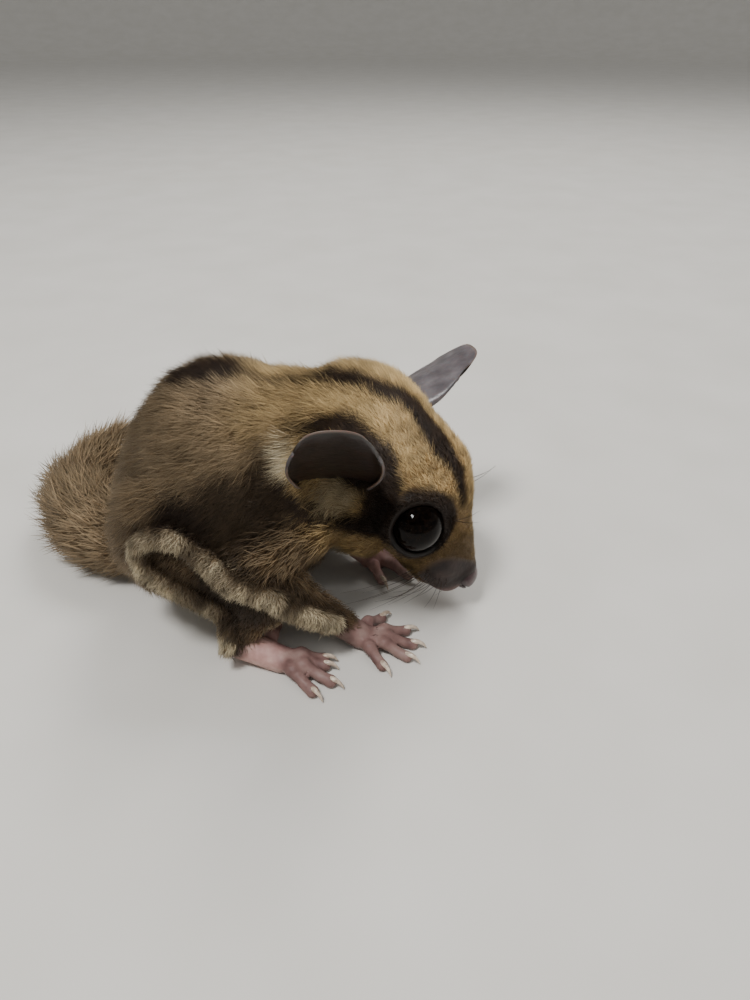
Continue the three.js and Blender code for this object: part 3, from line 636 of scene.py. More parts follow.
FLANK_PATCHES = [  # middle and reach on the right side, and how dark; the last, low on the flank under the membrane's edge, is partly dark coat and partly painted shade under that edge
    (vec(4.5, -14, 28), vec(4.2, 6, 6), 0.9), (vec(-0.5, -16, 25.5), vec(7, 7, 6.5), 0.85),
    (vec(-7.5, -18, 24.3), vec(5.2, 6, 5), 1.0), (vec(-2, -20.5, 14), vec(7.5, 7, 7.5), 0.9),
]


def fold_gap(points):
    return np.minimum(nearest_on(FOLDS[1], points)[0], nearest_on(FOLDS[-1], points)[0])


def body_patch(points, centre, radii, wander):
    """A patch on both flanks, round a place given on the right one."""
    return within(np.linalg.norm((on_right(points) - centre) / radii, axis=1) + 0.12 * wander, 0.95, 0.5)


def markings(points, normals):
    """Weights of dark, cream, golden and bare for each point, from 0 to 1."""
    q = to_head(points)
    folded = on_right(q)
    x, y, z = q.T
    bx, by, bz = points.T
    wander = ripple(points, 5, 3)
    head_up = normals @ HEAD_AXES[:, 2]
    on_face = step_up(-19, -14, x) * step_up(3, 7, bx)
    tail_gap, tail_share, _ = nearest_on(TAIL, points)
    on_tail = within(tail_gap, 8.5, 2)
    off_tail = 1 - on_tail

    middle, half = (np.interp(x, STRIPE[0], row) for row in STRIPE[1:])
    stripe = within(np.abs(y - middle) - half + 0.3 * wander, 0, 1.1) * within(x, 10.8, 2.5)
    nape = step_up(-20, -17, x)
    stripe = stripe * step_up(-0.1, 0.3, head_up) * nape * step_up(3, 7, bx)
    back_line = within(np.abs(by + 0.3) + 0.4 * wander, 1.3, 1.6) * step_up(30, 34, bz)
    back_line = back_line * (1 - 0.8 * nape) * 0.8
    saddle = within(np.hypot((bx + 5) / 5.6, by / 4.2) + 0.12 * wander, 1, 0.4) * step_up(34, 37, bz)

    eye_gap = from_eye(q)
    lower = step_up(0, -4, (folded - mirrored(EYE_AT, -1)) @ vec(-0.42, 0, 0.9))
    eye_ring = within(eye_gap + 0.2 * wander, 6.7 - 1.1 * lower, 1.1)
    band_gap, band_share, _ = nearest_on(EAR_BAND, folded)
    band_reach = np.interp(band_share, [0, 0.25, 0.5, 1], [3.2, 2.5, 2.0, 1.4])
    ear_band = within(band_gap + 0.3 * wander, band_reach, 1.2)
    cheek_gap, cheek_share, _ = nearest_on(CHEEK_BAND, folded)
    cheek_reach = np.interp(cheek_share, [0, 0.5, 1], [2.2, 1.4, 2.0])
    cheek_band = within(cheek_gap + 0.3 * wander, cheek_reach, 1.2)
    ear_gap = np.linalg.norm(folded - mirrored(EAR_AT, -1), axis=1)
    ear_root = within(ear_gap, 4.6, 1.4) * step_up(-0.4, 1.2, z)
    bridge = step_up(13.5, 18, x + 0.35 * np.abs(y)) * 0.55
    warm_cheek = 0.12 * step_up(-2.5, -4.5, z) * step_up(15, 12, x)
    tan = within(np.linalg.norm(folded - vec(-5, -13, -2.2), axis=1), 3.2, 1.6) * on_face

    flank = np.maximum.reduce([weight * body_patch(points, at, reach, wander)
                               for at, reach, weight in FLANK_PATCHES])
    flank = flank * np.maximum(1 - on_face, step_up(-13, -10, -x)) * off_tail
    edge_gap = fold_gap(points)
    fold = within(edge_gap + 0.15 * wander, 1.35, 0.4) * off_tail
    # A dark band on each side of the membrane's pale edge. It is partly the coat's own dark border and partly
    # painted shade under the edge.
    border_and_shade_under_fold = within(edge_gap, 3.2, 2) * 0.75 * off_tail
    tail_dark = on_tail * step_up(0.35, 0.8, tail_share + 0.04 * wander)

    mask = on_face * np.maximum.reduce([eye_ring, ear_band, ear_root, cheek_band, bridge, warm_cheek])
    dark = np.maximum.reduce([stripe, back_line, saddle, flank, border_and_shade_under_fold, tail_dark, mask])
    belly = step_up(-0.35, -0.85, normals[:, 2]) * (1 - on_face) * off_tail
    throat = on_face * step_up(-7.5, -10.5, z) * step_up(-0.1, -0.6, head_up)
    spot = within(nearest_on(PALE_SPOT, folded)[0], 1.3, 1.0) * on_face
    cream = np.maximum.reduce([fold, belly * 0.8, throat * 0.9, spot]) * (1 - tail_dark)
    cream = cream * (1 - eye_ring * on_face)
    cream = np.maximum(cream, 0.6 * tan)
    dark = dark * (1 - spot) * (1 - 0.75 * tan)
    gold = on_face * step_up(-11, -7, z + 0.3 * x) * (1 - 0.6 * throat)
    golden = np.maximum(gold, 0.9 * step_up(-4, 4, bx) * step_up(33, 37, bz))

    muzzle = step_up(21, 22.4, x + 0.97 * np.abs(y) + 0.3 * wander)
    muzzle = muzzle * step_up(-7.6, -6.8, z) * step_up(3, 2, z)
    lids = within(eye_gap, 4.95, 0.3)
    paw = step_up(0.65, -0.15, BODY.at(points, "paw")) * step_up(5.4, 4.2, bz + 0.3 * wander)
    bare = np.maximum.reduce([muzzle * on_face, lids * on_face, paw])
    return np.stack([dark * (1 - fold), cream, golden, bare], 1)


# The skin

SKIN = {}  # the skin's points and faces and what grows there, filled by make_skin
SKIN_BOX = vec(-46, -32, -1.5), vec(46, 50, 47)


def skin_surface(cell):
    """The skin as triangles, finer on the face and paws, and finest round the eyes and mouth."""
    vertices, quads = net(BODY, SKIN_BOX[0], SKIN_BOX[1], cell)
    vertices, _ = BODY.snapped(vertices, cell)
    triangles = halved(vertices, quads)
    for size in (cell / 2, cell / 4):
        centres = vertices[triangles].mean(1)
        q = to_head(centres)
        eye_gap = from_eye(q)
        near_mouth = nearest_on(MOUTH, centres)[0]
        if size > cell / 3:
            paw = (BODY.at(centres, "paw") < 0.6) & (centres[:, 2] < 5)
            marked = (eye_gap < 7) | (near_mouth < 3) | ((q[:, 0] > 17) & (eye_gap < 25)) | paw
        else:
            marked = (near_mouth < 0.8) | ((eye_gap < 5.2) & (eye_gap > 4.2))
        before = len(vertices)
        vertices, triangles = refined(vertices, triangles, marked)
        vertices[before:], _ = BODY.snapped(vertices[before:], size)
    return vertices, BODY.snapped(vertices, cell / 4, 1)[1], triangles


SHOWN_SHARE = 0.6  # a tuft shows over the skin this share of its length behind its root


def make_skin():
    vertices, normals, triangles = skin_surface(bpy.context.scene.glider_skin.cell)
    lie, length = coat_at(vertices, normals)
    marks = markings(vertices, normals)
    on_fold = within(fold_gap(vertices), 2.4, 0.6)
    shown = vertices + lie * (SHOWN_SHARE * length * (1 - on_fold))[:, None]
    SKIN.update(vertices=vertices, normals=normals, triangles=triangles, lie=lie, length=length,
                bare=marks[:, 3], marks=markings(shown, normals))
    piece = mesh_piece("skin", vertices, triangles, skin_finish(), {"marks": marks})
    flesh = [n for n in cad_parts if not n.startswith(("eye_", "ear_", "nose"))]
    settle(piece, "coat", *flesh)


# The coat

FACE, HEAD, SHOULDER, BACK, SIDE, LIMBS, TAIL_BASE, TAIL_TIP = range(8)
REGIONS = [  # name, tufts, straight, and the axis that its unwrap goes round
    ("coat_face", 44000, True, from_head(vec(26, 0, -3)), from_head(vec(-2, 0, 0))),
    ("coat_head", 48500, True, from_head(vec(10, 0, 0)), from_head(vec(-22, 0, 0))),
    ("coat_shoulder", 48500, True, vec(14, 0, 22), vec(-2, 0, 22)),
    ("coat_back", 48500, True, vec(0, 0, 24), vec(-24, 0, 20)),
    ("coat_flank", 48500, True, vec(8, 0, 12), vec(-24, 0, 12)),
    ("coat_limbs", 31000, False, vec(24, 0, 8), vec(-14, 0, 8)),
    ("coat_tail_base", 26000, False, vec(-28, 0, 7), vec(-28, 40, 7)),
    ("coat_tail_tip", 26000, False, vec(-20, 37, 7), vec(24, 30, 7)),
]
STRAND = {  # a strand's triangles: a straight one has a ring and a tip, a bent one a root, a ring and a tip
    True: [(0, 1, 2), (0, 3, 1), (1, 3, 2), (2, 3, 0)],
    False: [(0, 2, 1), (0, 3, 2), (0, 1, 3), (1, 2, 4), (2, 3, 4), (3, 1, 4)],
}


def group_gaps(points):
    groups = [name for name in BODY.groups if name != "lid"]
    return groups, np.stack([BODY.at(points, name) for name in groups], 1)


def coat_at(points, normals):
    """The lie and the length of the coat where tufts are rooted."""
    q = to_head(points)
    groups, gaps = group_gaps(points)
    weight = np.exp(-np.clip(gaps - gaps.min(1, keepdims=True), 0, 30) / 1.6)
    weight /= weight.sum(1, keepdims=True)
    lie = np.zeros_like(points)
    length = np.zeros(len(points))
    none = np.zeros(len(points))
    for name, w in zip(groups, weight.T):
        if name == "head":
            way = (vec(-1, 0, 0) + np.stack([none, 0.055 * q[:, 1], 0.03 * q[:, 2]], 1)) @ HEAD_AXES.T
            reach = np.interp(q[:, 0], [-20, -12, -4, 4, 12, 19], [3.8, 2.9, 2.3, 1.8, 1.3, 0.9])
        elif name == "trunk":
            aside = np.stack([none, 0.02 * points[:, 1], -0.02 * np.abs(points[:, 1])], 1)
            way = vec(-1, 0, -0.25) + aside
            reach = np.full(len(q), 4.3)
        elif name == "tail":
            _, share, way = nearest_on(TAIL, points)
            reach = np.interp(share, [0, 0.15, 0.8, 1], [5.6, 7.7, 7.7, 7])
        elif name == "paw":
            way = np.broadcast_to(vec(1, 0, -0.3), points.shape)
            reach = np.full(len(q), 0.9)
        elif name == "fold":
            outward = np.stack([none - 0.5, np.sign(points[:, 1]), none - 0.9], 1)
            way, reach = outward, np.full(len(q), 1.9)
        else:
            joints = joints_of(SIDES[name.split("_")[1]])
            if name.startswith("arm"):
                line = [joints["shoulder"], joints["elbow"], joints["wrist"]]
                way = nearest_on(line, points)[2] + vec(-0.35, 0, 0)
            else:
                line = [joints["hip"], joints["knee"], joints["ankle"]]
                low = step_up(17, 11, points[:, 2])[:, None]
                way = mix(vec(-0.75, 0, -0.65), nearest_on(line, points)[2], low)
            reach = np.interp(points[:, 2], [3.5, 7, 13, 22], [1.0, 1.9, 3.0, 4.1])
        lie += w[:, None] * unit(way)
        length += w * reach
    edge = within(fold_gap(points), 2.6, 2) * (length < 6)
    length = mix(length, 1.6, edge)
    lie -= normals * (lie * normals).sum(1, keepdims=True)
    return unit(lie), length


def clumped(roots, share, draw):
    """From each root, the way to the middle of its clump."""
    chosen = draw.choice(len(roots), int(len(roots) * share), replace=False)
    tree = kdtree.KDTree(len(chosen))
    for i, place in enumerate(roots[chosen].tolist()):
        tree.insert(place, i)
    tree.balance()
    nearest = [tree.find(place)[1] for place in roots.tolist()]
    return roots[chosen[nearest]] - roots


ROOT_DEPTH = 0.25
CLUMPS = 0.08  # how many clumps there are for each strand
TIP_FLOOR, BEND_FLOOR = 0.05, 0.25  # the least heights of a strand's tip and bend


def grown(roots, normals, lie, length, straight, seed):
    """Strands that are rooted just under the skin, as corners and how far along the strand each corner is."""
    draw = np.random.default_rng(seed)
    count = len(roots)
    settings = bpy.context.scene.glider_coat
    across = np.cross(normals, lie)
    sway = 0.5 * ripple(roots, 6, 11) + 0.6 * ripple(roots, 2.2, 17) + 0.5 * draw.normal(size=count)
    sway = settings.unruly * sway
    heading = unit(lie * np.cos(sway)[:, None] + across * np.sin(sway)[:, None])
    across = np.cross(normals, heading)
    length = length * (1 + 0.14 * ripple(roots, 4, 12) + 0.16 * draw.normal(size=count)).clip(0.45, 1.35)
    lift = (1 + 0.3 * ripple(roots, 4.5, 13) + 0.25 * draw.normal(size=count)).clip(0.25, 1.7)
    stand = settings.stand * lift
    width = np.interp(length, [0.4, 2, 4, 9], [0.1, 0.12, 0.14, 0.26]) * draw.uniform(0.7, 1.3, count)

    def rise(angle, far):
        return (heading * np.cos(angle)[:, None] + normals * np.sin(angle)[:, None]) * (far * length)[:, None]

    towards = clumped(roots, CLUMPS, draw)
    towards -= normals * (towards * normals).sum(1, keepdims=True)
    pull = settings.clumping * np.interp(length, [1, 4], [0.2, 1])[:, None]
    foot = roots - normals * ROOT_DEPTH
    middle = foot + rise(stand * 1.5, 0.4) + towards * pull * 0.35
    bend = across * (0.06 * length * draw.normal(size=count))[:, None]
    tip = middle + rise(stand * 0.5, 0.6) + towards * pull * 0.65 + bend
    tip[:, 2] = np.maximum(tip[:, 2], TIP_FLOOR)
    middle[:, 2] = np.maximum(middle[:, 2], BEND_FLOOR)
    above = unit(np.cross(across, heading))
    above = np.where((above * normals).sum(1, keepdims=True) < 0, -above, above)

    def ring(centre, w):
        w = w[:, None]
        return [centre - across * w, centre + across * w, centre + above * (0.8 * w)]

    if straight:
        return np.stack([*ring(foot, width * 0.6), tip], 1), [0, 0, 0, 1]
    return np.stack([foot, *ring(middle, width * 0.5), tip], 1), [0, 0.42, 0.42, 0.42, 1]


TUFT_MAPS = {  # a tuft's corners on its own small patch of the map, by their number
    4: [(0, 0), (0.5, 0), (1, 0), (0.5, 1)],
    5: [(0.5, 0), (0, 0.4), (1, 0.4), (0.5, 0.6), (0.5, 1)],
}
PATCH_SIDE = 0.003


def bake_map(piece, roots, start, end, corners):
    """Each tuft is a patch at its root's place on an unwrap of the region: round its axis, and along it."""
    along = end - start
    share = (roots - start) @ along / (along @ along)
    side = unit(np.cross(along, vec(0.2, 0.3, 1)))
    other = unit(np.cross(along, side))
    out = roots - start - share[:, None] * along
    angle = np.arctan2(out @ side, out @ other) / (2 * np.pi) + 0.5
    place = np.stack([angle, (share - share.min()) / np.ptp(share)], 1) * 0.99 + PATCH_SIDE
    uv = (place[:, None] + PATCH_SIDE * np.array(TUFT_MAPS[corners])[None]).reshape(-1, 2)
    mesh = piece.data
    layer = mesh.uv_layers.new(name="OFBake")
    corner = np.zeros(len(mesh.loops), np.int32)
    mesh.loops.foreach_get("vertex_index", corner)
    layer.uv.foreach_set("vector", uv[corner].astype(np.float32).ravel())


SHOULDER_FROM = -1  # the shoulder's coat begins here along the body, and the face's along the head
FACE_FROM = 1
FLANK_TOP = 22  # the flank's coat ends at this height, and the limbs' on a leg at the next
THIGH_FROM = 12


def region_of(points):
    """The coat piece that each point belongs to."""
    q = to_head(points)
    groups, gaps = group_gaps(points)
    nearest = np.array(groups)[gaps.argmin(1)]
    tail_share = nearest_on(TAIL, points)[1]
    leg = np.char.startswith(nearest, "leg")
    region = np.where(points[:, 0] > SHOULDER_FROM, SHOULDER, BACK)
    region[(points[:, 2] < FLANK_TOP) & (nearest == "trunk")] = SIDE
    region[leg & (points[:, 2] >= THIGH_FROM)] = SIDE
    region[leg & (points[:, 2] < THIGH_FROM)] = LIMBS
    region[np.char.startswith(nearest, "arm") | (nearest == "paw") | (nearest == "fold")] = LIMBS
    region[nearest == "tail"] = np.where(tail_share < 0.5, TAIL_BASE, TAIL_TIP)[nearest == "tail"]
    region[nearest == "head"] = np.where(q[:, 0] <= FACE_FROM, HEAD, FACE)[nearest == "head"]
    return region


LID_EDGE = 4.85  # no tuft is rooted nearer to an eye's middle than this, nor lower than the next
FLAT_EDGE = 0.15
ROOT_SEED, TUFT_SEED = 100, 200  # of the first region's random draws; each next region adds one


def spread_over(draw, room, count):
    """Triangles picked as often as they have room, with a random place in each as the corners' shares."""
    total = np.cumsum(room)
    pick = np.searchsorted(total, (np.arange(count) + draw.uniform(0, 1, count)) / count * total[-1])
    a, b = draw.uniform(0, 1, (2, count))
    over = a + b > 1
    a[over], b[over] = 1 - a[over], 1 - b[over]
    return np.minimum(pick, len(room) - 1), np.stack([1 - a - b, a, b], 1)[:, :, None]


def make_coat():
    material = coat_finish()
    triangles = SKIN["triangles"]
    corners = SKIN["vertices"][triangles]
    area = np.linalg.norm(np.cross(corners[:, 1] - corners[:, 0], corners[:, 2] - corners[:, 0]), axis=1) / 2
    bare = SKIN["bare"][triangles].mean(1)
    centres = corners.mean(1)
    regions = region_of(centres)
    q = to_head(centres)
    room = area * step_up(0.75, 0.25, bare) * (from_eye(q) > LID_EDGE) * (centres[:, 2] > FLAT_EDGE)
    room = room * (1 + 2.5 * within(fold_gap(centres), 2.2, 1))
    room = room * np.where(regions == FACE, np.interp(q[:, 0], [2, 14], [1, 2.2]), 1)
    for number, (name, count, straight, start, end) in enumerate(REGIONS):
        draw = np.random.default_rng(ROOT_SEED + number)
        pick, shares = spread_over(draw, np.where(regions == number, room, 0), count)
        chosen = triangles[pick]
        roots, out, lie, marks = ((SKIN[key][chosen] * shares).sum(1)
                                  for key in ("vertices", "normals", "lie", "marks"))
        length = (SKIN["length"][chosen] * shares[:, :, 0]).sum(1)
        tufts, along = grown(roots, unit(out), unit(lie), length, straight, TUFT_SEED + number)
        per = len(along)
        faces = np.array(STRAND[straight])[None] + np.arange(count)[:, None, None] * per
        strand = np.ones((count, per, 4))
        strand[..., 0] = along
        strand[..., 1] = draw.uniform(0, 1, count)[:, None]
        clump = 0.5 + 0.6 * ripple(roots, 1.6, 15) + 0.3 * ripple(roots, 7, 16)
        strand[..., 2] = np.clip(clump, 0, 1)[:, None]
        spread = np.repeat(marks[:, None], per, 1)
        piece = mesh_piece(name, tufts.reshape(-1, 3), faces.reshape(-1, 3), material,
                           {"marks": spread.reshape(-1, 4), "strand": strand.reshape(-1, 4)})
        bake_map(piece, roots, start, end, per)
        settle(piece, "coat")


# Materials


def linear(code):
    """An sRGB hex colour as the linear colour that a shader takes."""
    channels = [int(code[i:i + 2], 16) / 255 for i in (1, 3, 5)]
    return [c / 12.92 if c <= 0.04045 else ((c + 0.055) / 1.055) ** 2.4 for c in channels] + [1.0]


def lay_stops(elements, stops):
    """Colours at places from 0 to 1 along a ramp, as hex codes or linear colours."""
    while len(elements) < len(stops):
        elements.new(0.5)
    for element, (place, colour) in zip(elements, stops):
        element.position = place
        element.color = linear(colour) if isinstance(colour, str) else colour


def add_node(tree, kind, settings=None, **links):
    """A node with its settings, and its inputs, by number or name, as values or other nodes' outputs."""
    made = tree.nodes.new(kind)
    for key, value in (settings or {}).items():
        if key == "stops":
            lay_stops(made.color_ramp.elements, value)
        else:
            setattr(made, key, value)
    for key, value in links.items():
        numbered = key[0] == "i" and key[1:].isdigit()
        socket = made.inputs[int(key[1:]) if numbered else key.replace("_", " ")]
        if isinstance(value, bpy.types.NodeSocket):
            tree.links.new(value, socket)
        else:
            socket.default_value = value
    return made


def new_finish(name):
    """A material and its node tree, emptied."""
    material = bpy.data.materials.new(name)
    material.use_nodes = True
    material.node_tree.nodes.clear()
    return material, material.node_tree


def surfaced(tree, **looks):
    """The surface itself, with its colour, gloss and relief."""
    shader = add_node(tree, "ShaderNodeBsdfPrincipled", None, **looks)
    add_node(tree, "ShaderNodeOutputMaterial", None, Surface=shader.outputs[0])


def every(size):
    """The scale of a pattern that repeats about every so many millimetres."""
    return 1 / (size * MM)


def mottled(tree, size, detail, *palettes):
    """The height of blotches of a size in millimetres, and each palette's colours laid over them."""
    place = add_node(tree, "ShaderNodeTexCoord").outputs["Object"]
    blotches = add_node(tree, "ShaderNodeTexNoise", None, Vector=place, Scale=every(size), Detail=detail)
    colours = [add_node(tree, "ShaderNodeValToRGB", {"stops": stops}, Fac=blotches.outputs[0])
               for stops in palettes]
    return [blotches.outputs[0], *(colour.outputs[0] for colour in colours)]


def layered(tree, colour, *layers):
    """A colour with others laid over it in turn, each as far as its share says."""
    for over, share in layers:
        laid = add_node(tree, "ShaderNodeMix", {"data_type": "RGBA"}, i0=share, i6=colour, i7=over)
        colour = laid.outputs[2]
    return colour


def tone(colour, share):
    """A colour as deep as a share of itself, and warmer the deeper it is."""
    return [channel * share ** power for channel, power in zip(colour, (0.86, 1, 1.16))] + [1.0]


def marked_colour(tree, colours):
    """Agouti, golden, cream and dark, laid over one another by the marks on the skin and coat."""
    marks = add_node(tree, "ShaderNodeAttribute", {"attribute_name": "marks"})
    parts = add_node(tree, "ShaderNodeSeparateColor", None, Color=marks.outputs["Color"]).outputs
    colour = layered(tree, colours["agouti"], (colours["golden"], parts["Blue"]),
                     (colours["cream"], parts["Green"]), (colours["dark"], parts["Red"]))
    return colour, marks.outputs["Alpha"], parts["Red"]


BAND_PLACES = (0, 0.4, 0.75, 1)  # along a strand, from its root to its tip
BANDS = {  # how deep the colour is at each of those places, as a share of the tip's
    "agouti": (0.14, 0.3, 0.68, 1),
    "golden": (0.3, 0.5, 0.8, 1),
    "cream": (0.4, 0.6, 0.85, 1),
    "dark": (0.4, 0.55, 0.8, 1),
}
UNDERFUR = 0.26  # the same for the underfur on the skin


def coat_finish():
    """Mammal hair, grown: banded strands with a soft gloss, darker at the root than at the tip."""
    material, tree = new_finish("Banded mammal hair")
    strand = add_node(tree, "ShaderNodeAttribute", {"attribute_name": "strand"})
    parts = add_node(tree, "ShaderNodeSeparateColor", None, Color=strand.outputs["Color"]).outputs
    settings = bpy.context.scene.glider_colours
    colours = {}
    for name, depths in BANDS.items():
        tip = getattr(settings, name)
        stops = [(along, tone(tip, depth)) for along, depth in zip(BAND_PLACES, depths)]
        colours[name] = add_node(tree, "ShaderNodeValToRGB", {"stops": stops}, Fac=parts["Red"]).outputs[0]
    colour, _, _ = marked_colour(tree, colours)
    lot = add_node(tree, "ShaderNodeMapRange", None, Value=parts["Green"], To_Min=0.76, To_Max=1.2)
    clump = add_node(tree, "ShaderNodeMapRange", None, Value=parts["Blue"], To_Min=0.6, To_Max=1.25)
    both = add_node(tree, "ShaderNodeMath", {"operation": "MULTIPLY"}, i0=lot.outputs[0], i1=clump.outputs[0])
    scaled = add_node(tree, "ShaderNodeVectorMath", {"operation": "SCALE"}, i0=colour, Scale=both.outputs[0])
    surfaced(tree, Base_Color=scaled.outputs[0], Roughness=0.5, Specular_IOR_Level=0.3)
    return material


def skin_finish():
    """Bare mammal skin, and the underfur that lies on it where the coat grows: soft, creased and blotched."""
    material, tree = new_finish("Mammal skin with underfur")
    settings = bpy.context.scene.glider_colours
    under = {name: tone(getattr(settings, name), UNDERFUR) for name in BANDS}
    colour, bare_share, dark_share = marked_colour(tree, under)
    creases = mottled(tree, 0.909, 3.0)[0]
    _, paw, muzzle, lids = mottled(tree, 3.125, 3.0,
                                   [(0.3, "#8f6a67"), (0.5, "#b78f88"), (0.72, "#d5b5ab")],
                                   [(0.3, "#281e1d"), (0.55, "#3c2e2b"), (0.75, "#4d3d39")],
                                   [(0.3, "#120d0b"), (0.75, "#2a1f1b")])
    place = add_node(tree, "ShaderNodeTexCoord").outputs["Object"]
    height = add_node(tree, "ShaderNodeSeparateXYZ", None, Vector=place)
    above_paws = add_node(tree, "ShaderNodeMapRange", None, Value=height.outputs["Z"], From_Min=4.5 * MM,
                          From_Max=7 * MM)
    bare = layered(tree, paw, (muzzle, above_paws.outputs[0]), (lids, dark_share))
    colour = layered(tree, colour, (bare, bare_share))
    bump = add_node(tree, "ShaderNodeBump", None, Height=creases, Strength=0.4, Distance=0.3 * MM)
    surfaced(tree, Base_Color=colour, Normal=bump.outputs[0], Roughness=0.5, Specular_IOR_Level=0.25)
    return material


# Eyes, lids, nose, ears, claws and whiskers


def eye_finish():
    """A wet, clear cornea over an iris so dark that it shows near black, with sharp highlights."""
    material, tree = new_finish("Cornea over a dark iris")
    _, iris = mottled(tree, 0.714, 4.0, [(0.35, "#040303"), (0.75, "#130c08")])
    surfaced(tree, Base_Color=iris, Roughness=0.03, Specular_IOR_Level=0.1)
    return material


def make_eyes():
    material = eye_finish()
    for name, side in SIDES.items():
        bm = bmesh.new()
        bmesh.ops.create_uvsphere(bm, u_segments=64, v_segments=40, radius=1)
        bmesh.ops.triangulate(bm, faces=bm.faces)
        around = np.array([v.co for v in bm.verts])
        faces = np.array([[v.index for v in f.verts] for f in bm.faces])
        bm.free()
        bulge = 1 + 0.035 * np.clip(around @ mirrored(LOOK, side), 0, 1) ** 4
        points = around * bulge[:, None] * (EYE_RADIUS - 0.02) + mirrored(EYE_AT, side)
        settle(mesh_piece("eyeball_" + name, from_head(points), faces, material), "eye", "eye_" + name)


def ring_faces(rows, columns):
    """Triangles of a tube of rows and columns of points that is closed both ways, like a ring."""
    i, j = (a.ravel() for a in np.meshgrid(np.arange(rows), np.arange(columns), indexing="ij"))
    a, b = i * columns + j, (i + 1) % rows * columns + j
    c, d = (i + 1) % rows * columns + (j + 1) % columns, i * columns + (j + 1) % columns
    return np.vstack([np.stack([a, b, c], 1), np.stack([a, c, d], 1)])


def make_lids():
    """The bare rims of the lids, which lie on the eyeball and are drawn out a little at the corners."""
    material, tree = new_finish("Moist lid rim")  # smooth dark skin with a low, soft sheen
    _, colour = mottled(tree, 1.111, 3.0, [(0.3, "#080605"), (0.75, "#1a1411")])
    surfaced(tree, Base_Color=colour, Roughness=0.5, Specular_IOR_Level=0.25)
    rows, columns = 96, 14
    angle, turn = np.meshgrid(2 * np.pi * np.arange(rows) / rows, 2 * np.pi * np.arange(columns) / columns,
                              indexing="ij")
    for name, side in SIDES.items():
        out, corner, rise = eye_axes(side)
        opening = LID_OPENING * (1 + 0.07 * np.abs(np.cos(angle)) ** 6 - 0.02 * np.sin(angle))
        thick = 0.34 + 0.06 * np.sin(angle)
        reach = opening + 0.42 + 0.5 * np.cos(turn)
        on_ball = np.sqrt(np.maximum((EYE_RADIUS + 0.1) ** 2 - opening ** 2, 0.3))
        height = on_ball - 0.25 * (reach - opening) + thick * np.sin(turn) - 0.1
        points = (mirrored(EYE_AT, side) + corner * (reach * np.cos(angle))[..., None]
                  + rise * (reach * np.sin(angle))[..., None] + out * height[..., None])
        faces = ring_faces(rows, columns)
        vertices = from_head(points.reshape(-1, 3))
        a, b, c = (vertices[index] for index in faces.T)
        from_centre = (a + b + c) / 3 - from_head(points.mean((0, 1)))
        outward = (np.cross(b - a, c - a) * from_centre).sum() > 0
        faces = faces if outward else faces[:, ::-1]
        settle(mesh_piece("lid_rim_" + name, vertices, faces, material), "coat")


def nose_body():
    """The bare pad with its nostrils, their side slits and the groove down the middle."""
    nose = Body()

    def off(x, y, z):
        return NOSE_TIP + vec(x, y, z)

    nose.add("pad", 0.7, egg(off(-2.1, 0, 0), vec(2.1, 2.5, 1.9)))
    for side in (1, -1):
        nose.add("pad", 0.7, egg(off(-2, 1.5 * side, -0.3), vec(1.7, 1.5, 1.5)))
    nose.add("pad", 0.7, egg(off(-2.3, 0, -1.9), vec(1.4, 1, 1.5)))
    for side in (1, -1):
        nose.cut(0.35, egg(off(-0.6, 1.5 * side, -0.5), vec(1.1, 0.42, 0.5)))
        nose.cut(0.3, egg(off(-1.2, 2.4 * side, -0.5), vec(0.9, 0.8, 0.22)))
    nose.cut(0.35, egg(off(0, 0, -1.6), vec(0.8, 0.12, 2.2)))
    return nose


def make_nose():
    material, tree = new_finish("Moist bare nose skin")  # pebbled and wet: small glints on dark mauve
    place = add_node(tree, "ShaderNodeTexCoord").outputs["Object"]
    cobble = add_node(tree, "ShaderNodeTexVoronoi", None, Vector=place, Scale=every(0.3125))
    _, colour = mottled(tree, 1.667, 2.0, [(0.3, "#2c2122"), (0.7, "#4f3c3d")])
    bump = add_node(tree, "ShaderNodeBump", None, Height=cobble.outputs[0], Strength=0.4, Distance=0.1 * MM)
    surfaced(tree, Base_Color=colour, Normal=bump.outputs[0], Roughness=0.32, Coat_Weight=0.25,
             Coat_Roughness=0.2)
    nose = nose_body()
    cell = 0.2
    vertices, quads = net(nose, NOSE_TIP - vec(5, 4, 4.4), NOSE_TIP + vec(1, 4, 3), cell)
    vertices, _ = nose.snapped(vertices, cell)
    settle(mesh_piece("nose_pad", from_head(vertices), quads, material), "nose_skin", "nose")


EARS = {  # the way each ear leans, and the way its cup opens
    "right": (vec(-0.32, -0.7, 0.64), vec(0.68, -0.64, -0.35)),
    "left": (vec(0.24, 0.5, 0.82), vec(0.9, 0.16, -0.36)),
}
EAR_LENGTH, EAR_WIDTH, EAR_DEPTH, EAR_SINK = 18.5, 12.8, 1.7, 3.5


